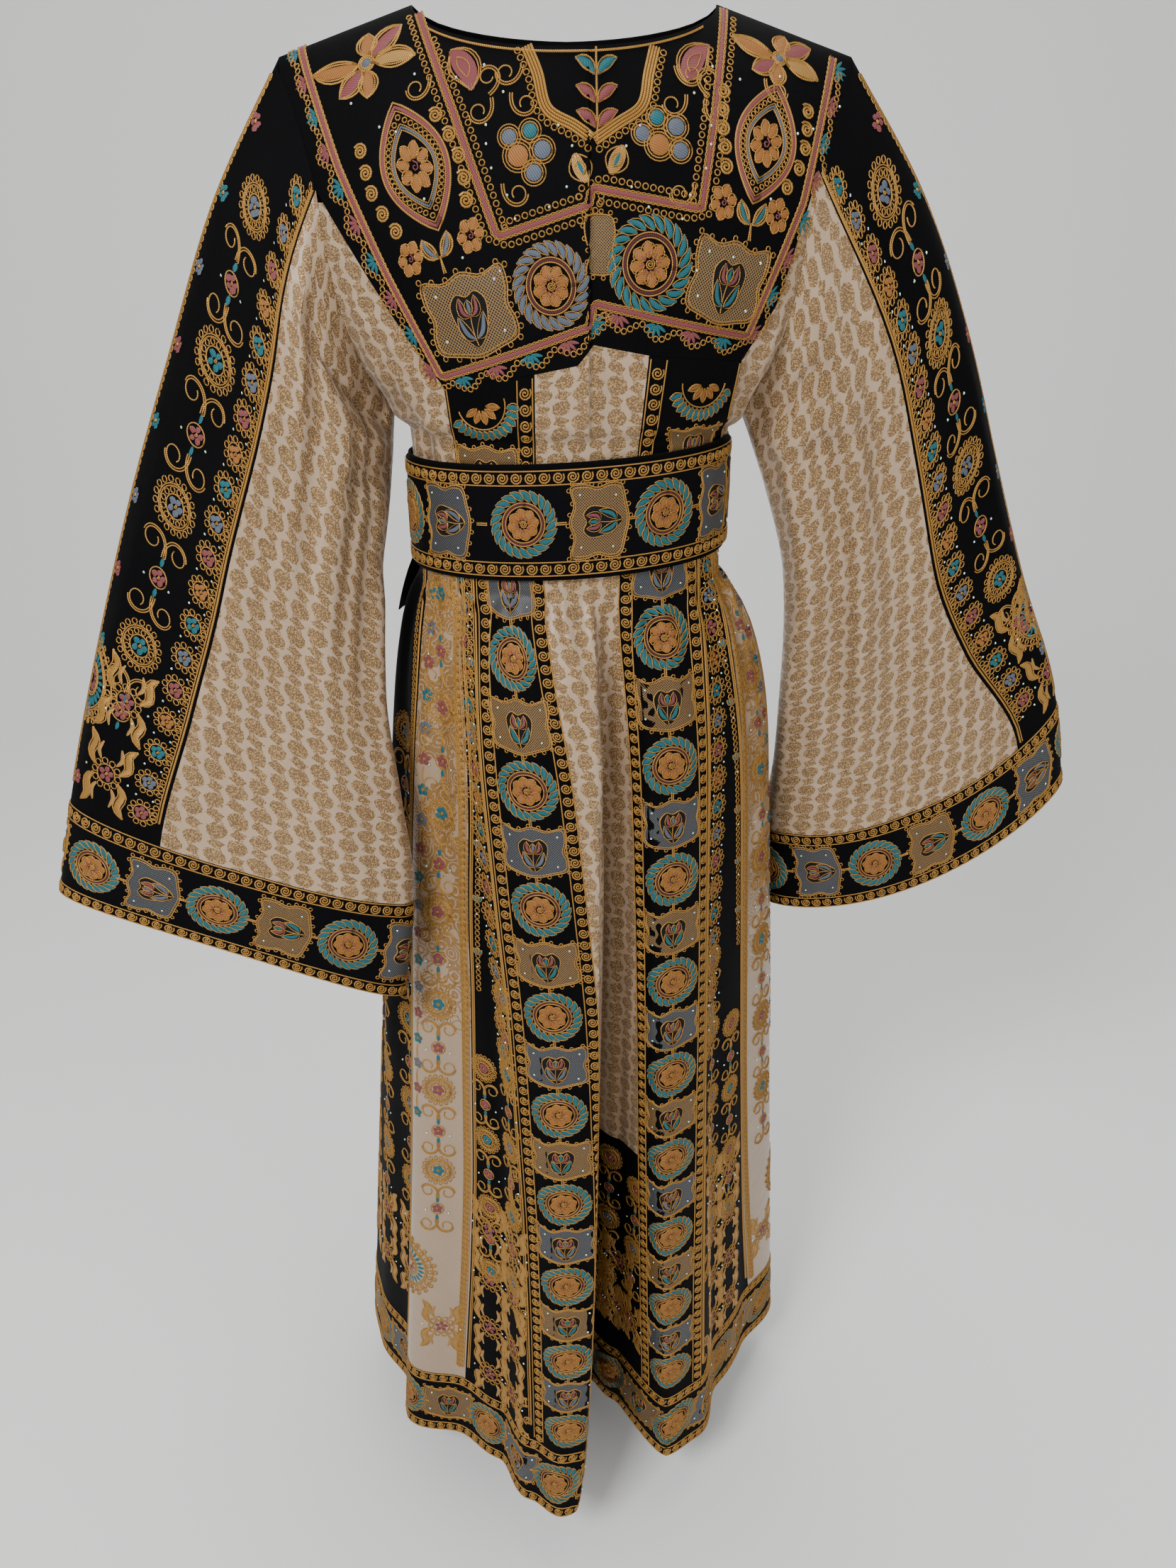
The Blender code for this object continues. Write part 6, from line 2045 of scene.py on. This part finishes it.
def half_rings(work, path, side, angle):
    """Half medallions beside a band."""
    spots, _ = work.walk(path, 0.150, side, 0.05)
    share = np.linspace(-math.pi / 2, math.pi / 2, 22)
    oval = np.stack((np.cos(share) * 0.62, np.sin(share)), axis=-1) * MM
    made = [cord(oval * radius) for radius in (20, 22, 30, 32)]
    ends = np.array(((14.0 / 0.62, 22.5), (18.2 / 0.62, 29.5)))
    spokes = [line_between(*(spot * ends), 4) for spot in oval[1::2]]
    made.append(fill(np.array(spokes), 1.3 * MM, "pale_gold"))
    made.append(cord(spiral(0.4 * MM, 6.0 * MM, 2.2, 22)))
    work.place(made, spots, side, angle)


def sew_sleeve(hand):
    """The panel over an arm: flowers along both seams, scrolls, leaves at the cuff, loops on the fold."""
    work = Needlework("sleeve_" + hand, panel="sleeve_top_" + hand)
    end = work.cloth.length - 0.004
    for side, sign in (INNER["left"], INNER["right"]):
        edge = column(sign * 0.0035, 0.004, end)
        work.line(edge, side=side, **EDGE_CORD)
        work.line(edge + np.array((sign * 0.0022, 0.0)), side=side)
        work.lace(column(sign * 0.0085, 0.006, end), 0.0, 2.4 * MM, 6.2 * MM, side)
        flower_chain(work, column(sign * 0.0200, 0.010, end - 0.006), side)
        scroll_column(work, column(sign * 0.0620, 0.0, end - 0.10), side, 0.075)
        dense_column(work, column(sign * 0.0600, end - 0.15, end + 0.019), side)
    middle = column(0.0, 0.012, end)
    for offset in (-0.0075, 0.0075):
        work.lace(middle, offset, 2.6 * MM, 6.4 * MM)
        work.line(work.beside(middle, offset * 0.45))
    for sign, turn in ((1, 0.0), (-1, math.pi)):
        work.place(half_medallion(34 * MM), [(sign * 0.0125, end - 0.115)], 0.5, turn)
    spots, _ = work.walk(middle, 0.0640, 0.5, 0.030)
    for shift in (-0.0165, 0.0165):
        sew_in_turn(work, bare_blossom, ("rose", "teal", "gray"), spots + np.array((shift, 0.0)), 0.5, 0.95)
    return work


def sew_strip(hand):
    """A black strip of the skirt: flowers at its top, half medallions and scrolls below, loops outside."""
    work = Needlework("skirt_strip_" + hand)
    end = work.cloth.length - 0.004
    inner, sign = INNER[hand]
    for side, flip in ((0.0, 1), (1.0, -1)):
        work.line(column(flip * 0.0030, 0.002, end), side=side, **EDGE_CORD)
        work.line(column(flip * 0.0052, 0.002, end), side=side)
    flower_chain(work, column(sign * 0.0185, 0.012, 0.52), inner)
    half_rings(work, column(sign * 0.0065, 0.46, end), inner, 0.0 if hand == "right" else math.pi)
    scroll_column(work, column(-sign * 0.0200, 0.40, end - 0.16), 0.5, 0.03, 0.72)
    scroll_column(work, column(sign * 0.0180, 0.50, end - 0.16), 0.5, 0.03, 0.72, ("rose", "teal"))
    for shift in (-0.0200, 0.0200):
        dense_column(work, column(shift, end - 0.27, end - 0.01), 0.5)
    outer = column(-sign * 0.0115, 0.02, 0.45)
    work.lace(outer, 0.0, 2.6 * MM, 6.2 * MM, 1.0 - inner)
    spots, _ = work.walk(outer, 0.058, 1.0 - inner, 0.03)
    work.place(leaf_fan("teal"), spots, 1.0 - inner)
    work.place(stone(), spots + np.array((0.0, 0.012)), 1.0 - inner)
    return work


def sew_satin(hand):
    """A satin panel: coils along its inner edge, flowers along the outer one, scrolls and leaves between."""
    work = Needlework("skirt_satin_" + hand, "cream_satin")
    end = work.cloth.length - 0.004
    inner, sign = INNER[hand]
    spots, _ = work.walk(column(sign * 0.0070, 0.004, end), 0.0075, inner, 0.004)
    work.place([cord(spiral(0.3 * MM, 4.2 * MM, 1.9, 13), half=0.0009, rise=0.0012)], spots, inner)
    for shift in (0.0025, 0.0115):
        work.line(column(sign * shift, 0.004, end), side=inner)
    chain, _ = work.walk(column(-sign * 0.0120, 0.01, 0.62), 0.0310, 1.0 - inner, 0.012)
    sew_in_turn(work, bare_blossom, ("rose", "teal", "gray"), chain, 1.0 - inner, 0.9)
    work.place([cord(line_between((0, 0.008), (0, 0.023), 5, 0.06))], chain, 1.0 - inner)
    scroll_column(work, column(sign * 0.0010, 0.0, end - 0.20), 0.5, 0.050, 0.86, ("teal", "rose"))
    dense_column(work, column(-sign * 0.0100, end - 0.10, end - 0.01), 0.5)
    turn = 0.0 if hand == "left" else math.pi
    work.place(half_medallion(36 * MM), [(-sign * 0.0020, end - 0.150)], 1.0 - inner, turn)
    return work


def sew_centre_foot():
    """Columns of scrolls and leaves, side by side, on the black foot of the skirt's middle."""
    work = Needlework("skirt_centre_foot")
    end = work.cloth.length
    for shift, start in ((-0.084, 0.045), (-0.042, 0.025), (0.0, 0.050), (0.042, 0.030), (0.084, 0.050)):
        scroll_column(work, column(shift, 0.0, end - 0.10), 0.5, start, 0.74, ("rose", "gray"))
        dense_column(work, column(shift, end - 0.10, end - 0.002), 0.5)
    for shift in (-0.063, -0.021, 0.021, 0.063):
        dense_column(work, column(shift, end - 0.175, end - 0.02), 0.5)
    return work


def sew_bodice_band(hand):
    """A chain of rosettes along the inner edge, and a half wheel over a square of net beside it."""
    work = Needlework("bodice_band_" + hand)
    end = work.cloth.length - 0.002
    inner, sign = INNER[hand]
    work.line(column(sign * 0.0016, 0.002, end, 0.01), side=inner)
    work.place(rosette(), column(sign * 0.0078, 0.012, end, CHAIN_PITCH), inner)
    work.line(column(sign * 0.0140, 0.002, end, 0.01), side=inner)
    work.line(column(-sign * 0.0018, 0.002, end, 0.01), side=1.0 - inner)
    work.place(half_wheel("teal"), [(sign * 0.0068, 0.019)], 0.5, 0.24 if hand == "left" else 0.0, 1.10)
    work.place(SQUARES["gold"], [(sign * 0.0068, 0.081)], 0.5, 0.0, 0.92, 1.05)
    return work


def sew_side(hand):
    """Scrolls and leaves along the lower part of a black side of the skirt."""
    work = Needlework("skirt_side_" + hand)
    end = work.cloth.length - 0.004
    inner, sign = INNER[hand]
    work.line(column(sign * 0.0030, 0.004, end), side=inner, **EDGE_CORD)
    for shift, start in ((0.0340, 0.20), (0.0900, 0.30), (0.1460, 0.42)):
        if shift + 0.03 < work.cloth.width.max():
            scroll_column(work, column(sign * shift, 0.0, end - 0.14), inner, start, 0.9)
            dense_column(work, column(sign * shift, end - 0.18, end - 0.01), inner)
    work.lace(column(sign * 0.0085, 0.02, end), 0.0, side=inner)
    return work


# Layout of the yoke, as seen from the front: x across and height
MIRROR_X = 0.0525
FAN_PITCH = 0.0300
OUTER_BORDER = (
    (-0.2128, -0.0344), (-0.1785, -0.1212), (-0.1422, -0.1955), (-0.1016, -0.2715), (-0.040, -0.2518),
    (0.0190, -0.2320), (0.0232, -0.2151), (0.0850, -0.2290), (0.1490, -0.2422), (0.1902, -0.1458),
    (0.2152, -0.0411),
)
BORDER_SCALE = (0.975, 1.0)
BORDER_RISE = (0.0, 0.0070)
INNER_FRAME = (
    (-0.1101, -0.0100), (-0.0816, -0.0795), (-0.0505, -0.1624), (0.0185, -0.1409), (0.0209, -0.1290),
    (0.1039, -0.1433), (0.1136, -0.0742), (0.1218, -0.0050),
)
FRAME_ENDS = ((-0.1041, -0.0330), (0.1178, -0.0330))
NECK_LINES = (
    ((-0.0270, -0.0360), (-0.0190, -0.0540), (-0.0120, -0.0770), (0.0080, -0.0880), (0.0225, -0.0975)),
    ((0.0225, -0.0975), (0.0400, -0.0865), (0.0580, -0.0745), (0.0630, -0.0530), (0.0680, -0.0330)),
)
NECK_CORDS = (-0.0033, -0.0011, 0.0011, 0.0033)
YOKE_SCROLLS = (
    # x and z of the coil, turn, the way it curls; each has a mirrored twin
    (-0.0520, -0.0560, -0.9, -1),
    (-0.0593, -0.0804, 3.3, 1),
    (-0.0400, -0.0560, 2.9, 1),
    (-0.0310, -0.0760, 3.1, -1),
    (-0.0371, -0.1357, 3.2, -1),
    (-0.1078, -0.0646, 3.1, 1),
)
YOKE_MOTIFS = (
    # motif, x, z, turn, scale, stretch
    (sprig(), 0.0250, -0.0930, 0.02, 0.95, 1.0),
    (heart("teal"), 0.0125, -0.1160, 0.45, 1.35, 1.0),
    (heart("teal"), 0.0395, -0.1105, -0.45, 1.35, 1.0),
    (cluster(), -0.0260, -0.1040, 0.0, 1.3, 1.0),
    (cluster(), 0.0750, -0.0935, 0.6, 1.3, 1.0),
    (paisley("rose"), -0.0745, -0.0480, -0.3, 1.1, 1.0),
    (paisley("rose"), 0.0965, -0.0455, 1.85, 1.1, 1.0),
    (mandorla(), -0.1119, -0.1146, 0.36, 1.0, 1.0),
    (mandorla(), 0.1532, -0.0985, -0.22, 0.95, 1.0),
    (star(), -0.1500, -0.0440, 0.0, 1.0, 1.0),
    (star(), 0.1640, -0.0400, -0.2, 0.85, 1.0),
    (square_motif("net_gold", "rose", "gray"), -0.0725, -0.2165, 0.26, 1.12, 1.10),
    (RINGS["gray"], -0.0100, -0.1960, 0.15, 1.02, 1.08),
    (RINGS["teal"], 0.0650, -0.1810, -0.05, 1.14, 1.06),
    (SQUARES["gold"], 0.1262, -0.1945, -0.24, 1.03, 1.16),
    (net_piece(), 0.0270, -0.1680, 0.05, 0.9, 1.0),
    (tulip_leaves("gray"), -0.0947, -0.1755, 0.3, 1.15, 1.0),
    (tulip_leaves("teal"), 0.1430, -0.1530, -0.1, 1.15, 1.0),
)
YOKE_SPIRALS = (
    (-0.1553, -0.1041), (-0.1513, -0.1190), (-0.1472, -0.1331), (-0.1392, -0.1472), (-0.1290, -0.1590),
    (-0.0957, -0.0804), (-0.0856, -0.0935), (-0.0785, -0.1076), (-0.0749, -0.1225), (-0.0735, -0.1375),
    (0.1190, -0.0640), (0.1185, -0.0765), (0.1190, -0.0890), (0.1207, -0.1015), (0.1219, -0.1147),
    (0.1871, -0.0760), (0.1864, -0.0884), (0.1852, -0.1015), (0.1805, -0.1154), (0.1709, -0.1285),
)
YOKE_FLOWERS = ((-0.0705, -0.1612), (-0.1179, -0.1779), (0.1207, -0.1387), (0.1640, -0.1482))
YOKE_STONES = (
    (-0.0583, -0.0480), (-0.0795, -0.0560), (-0.0442, -0.0660), (-0.0573, -0.0875), (-0.0038, -0.0880),
    (-0.0573, -0.1000), (-0.0537, -0.1160), (0.0063, -0.1015), (-0.0422, -0.1340), (0.0022, -0.1285),
    (-0.0109, -0.1420), (-0.0365, -0.1500), (-0.1113, -0.0530), (-0.1618, -0.0715), (-0.1260, -0.0915),
    (-0.1052, -0.1365), (-0.0769, -0.1765), (-0.0485, -0.1855), (-0.1390, -0.0880),
)


def wavy_lace(work, path, near, far, pitch, start):
    """Loops that swing between two distances to the right of a path, out round each fan of leaves."""
    spots, turn = work.walk(path, 0.0027, 0.5, 0.0)
    along = np.arange(len(spots)) * 0.0027 - start
    swing = near + (far - near) * (0.5 + 0.5 * np.cos(2 * math.pi * along / pitch)) ** 0.7
    swing = np.where(spots[:, 1] > -0.10, np.minimum(swing, 0.010), swing)
    work.lace(work.shifted(spots, turn, -swing), 0.0, 2.2 * MM, 5.2 * MM)


def sew_frame(work, frame_line):
    """The inner frame of the yoke: a border with a row of loops on both sides."""
    work.braid(frame_line)
    work.lace(work.beside(frame_line, -0.0080, 0.008), 0.0, 2.2 * MM, 6.0 * MM)
    inside = np.concatenate((FRAME_ENDS[:1], frame_line[1:-1], FRAME_ENDS[1:]))
    work.lace(work.beside(inside, 0.0080, 0.008), 0.0, 2.2 * MM, 6.0 * MM)


def sew_yoke():
    """Borders and loops first, then the motifs, the coils and the stones."""
    work = Needlework("yoke")
    outer = np.array(OUTER_BORDER) * BORDER_SCALE + BORDER_RISE
    work.braid(outer)
    sew_frame(work, np.array(INNER_FRAME))
    fans, turn = work.walk(work.beside(outer, -0.0040, 0.01), FAN_PITCH, 0.5, 0.012)
    for number, thread in enumerate(("teal", "rose")):
        motif = leaf_fan(thread, 5, 10.0 * MM, 1.15, False)
        work.place(motif, fans[number::2], 0.5, turn[number::2] + math.pi)
    wavy_lace(work, work.beside(outer, 0.0, 0.01), 0.0058, 0.0150, FAN_PITCH, 0.012)
    for line in NECK_LINES:
        neck = curve(np.array(line), 34)
        for offset in NECK_CORDS:
            work.line(work.beside(neck, offset, 0.003), half=0.0010, rise=0.0015)
        work.lace(neck, -0.0072, 2.3 * MM, 5.8 * MM)
    across = np.linspace(-0.104, 0.104, 80)
    work.line(pairs(across, bodice_top(-1, across) - 0.0035), **EDGE_CORD)
    for x, z, turn, flip in YOKE_SCROLLS:
        for spot, mirror in (((x, z), 1), ((MIRROR_X - x, z), -1)):
            work.place(scroll(24 * MM, flip * mirror, coiled=True), [spot], 0.5, turn * mirror)
    for motif, x, z, turn, scale, stretch in YOKE_MOTIFS:
        work.place(motif, [(x, z)], 0.5, turn, scale, stretch)
    work.place([cord(spiral(0.4 * MM, 6.0 * MM, 2.4, 26), half=0.0009, rise=0.0012)], YOKE_SPIRALS)
    work.place(flower(10.0 * MM, 6, "tan", "rose", 0.2, True), YOKE_FLOWERS, 0.5, 0.0, 1.05, 1.25)
    stones = np.array(YOKE_STONES)
    work.place(stone(), np.concatenate((stones, stones * (-1, 1) + (MIRROR_X, 0))))
    return work


def sew_all():
    """Every embroidered cloth in turn. Each becomes one piece."""
    works = [sew_skirt_band("left"), sew_skirt_band("right"), sew_hem(), sew_belt()]
    for hand in ("left", "right"):
        works += [sew_cuff(hand), sew_sleeve(hand), sew_strip(hand), sew_satin(hand), sew_bodice_band(hand)]
    works += [sew_centre_foot(), sew_yoke(), sew_side("left"), sew_side("right")]
    for work in works:
        work.finish()


sew_all()


def make_knot():
    """The belt's knot: a loop of velvet wrapped once round the tails, with its creases."""
    places, facing = belt_grid(np.array([KNOT_ANGLE]), (-KNOT_DROP,), BELT_WALL + KNOT_SIZE[0] + KNOT_GAP)
    centre, out = places[0][0], facing[0][0]
    along = np.array((-out[1], out[0], 0.0))
    up = np.array((0.0, 0.0, 1.0))
    rows, columns = 28, 48
    tilt = np.linspace(0.02, math.pi - 0.02, rows)[:, None]
    turn = np.linspace(0, 2 * math.pi, columns, endpoint=False)
    deep, wide, tall = KNOT_SIZE
    crease = 1 - 0.09 * np.exp(-((np.abs(np.cos(tilt)) - 0.55) / 0.10) ** 2) * (1 + 0.4 * np.sin(2 * turn))
    crease = crease - 0.05 * np.exp(-((np.sin(turn * 1.5 + 0.6 * tilt)) / 0.30) ** 2) * np.sin(tilt)
    x, y, z = np.sin(tilt) * np.cos(turn), np.sin(tilt) * np.sin(turn), np.cos(tilt) * np.ones_like(turn)
    spots = centre + (x * crease * deep)[..., None] * out + (y * crease * wide)[..., None] * along
    spots = spots + (z * crease * tall)[..., None] * up
    spans = np.arange(columns)
    lines = np.arange(rows - 1)[:, None] * columns
    quads = np.stack((lines + spans, lines + columns + spans, lines + columns + (spans + 1) % columns,
                      lines + (spans + 1) % columns), axis=-1).reshape(-1, 4)
    uvs = np.stack(np.broadcast_arrays(turn * wide, tilt * tall), axis=-1).reshape(-1, 2)
    slots, velvet = np.zeros(len(quads)), [CLOTHS["black_velvet"]]
    piece = mesh_piece("belt_knot_cloth", spots.reshape(-1, 3), quads, uvs, slots, velvet)
    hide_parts("belt_knot")
    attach(piece, "root")


# Stage, light and camera
CAMERA_PLACE = (0.018, -1.090, -0.143)
CAMERA_TILT = math.radians(64)
CAMERA_LENS = 27.08
FLOOR_Z = HEM_Z - 0.10


def make_stage():
    """A pale floor that bends up into a backdrop."""
    bend = np.linspace(0.1, math.pi / 2, 14)
    profile = [(-3.0, FLOOR_Z), (2.2, FLOOR_Z)]
    profile += [(2.2 + math.sin(turn), FLOOR_Z + 1 - math.cos(turn)) for turn in bend]
    profile.append((3.2, 4.0))
    vertices = [(x, y, z) for y, z in profile for x in (-5.0, 5.0)]
    faces = [(2 * i, 2 * i + 1, 2 * i + 3, 2 * i + 2) for i in range(len(profile) - 1)]
    mesh = bpy.data.meshes.new("backdrop")
    mesh.from_pydata(vertices, [], faces)
    mesh.shade_smooth()
    mesh.materials.append(plain_material("backdrop", (0.93, 0.93, 0.93)))
    backdrop = bpy.data.objects.new("backdrop", mesh)
    bpy.context.scene.collection.objects.link(backdrop)


def make_light(name, place, aim, size, power):
    """One soft square light that faces its aim."""
    lamp = bpy.data.lights.new(name, "AREA")
    lamp.size = size
    lamp.energy = power
    holder = bpy.data.objects.new(name, lamp)
    x, y, z = np.array(place) - np.array(aim)
    holder.location = place
    holder.rotation_euler = (math.atan2(math.hypot(x, y), z), 0, math.atan2(x, -y))
    bpy.context.scene.collection.objects.link(holder)


def make_lights():
    """A key light, a weak fill and a light from above."""
    make_light("key", (-1.1, -2.1, 1.3), (0.0, 0.0, -0.35), 0.9, 80)
    make_light("fill", (1.9, -1.7, 0.4), (0.0, 0.0, -0.6), 2.0, 17)
    make_light("top", (0.2, 0.5, 2.0), (0.0, 0.0, -0.5), 1.8, 36)
    make_light("low", (0.0, -2.2, -1.0), (0.0, 0.0, -1.0), 1.6, 4)
    world = bpy.data.worlds.new("studio")
    world.use_nodes = True
    world.node_tree.nodes["Background"].inputs["Color"].default_value = (1.0, 0.985, 0.96, 1.0)
    world.node_tree.nodes["Background"].inputs["Strength"].default_value = 0.50
    bpy.context.scene.world = world


def make_camera():
    """The camera, at the place that the whole frame was fitted to."""
    lens = bpy.data.cameras.new("camera")
    lens.lens = CAMERA_LENS
    lens.sensor_width = 36.0
    lens.clip_start = 0.01
    camera = bpy.data.objects.new("camera", lens)
    camera.location = CAMERA_PLACE
    camera.rotation_euler = (CAMERA_TILT, 0, 0)
    bpy.context.scene.collection.objects.link(camera)
    bpy.context.scene.camera = camera


make_knot()
make_stage()
make_lights()
make_camera()
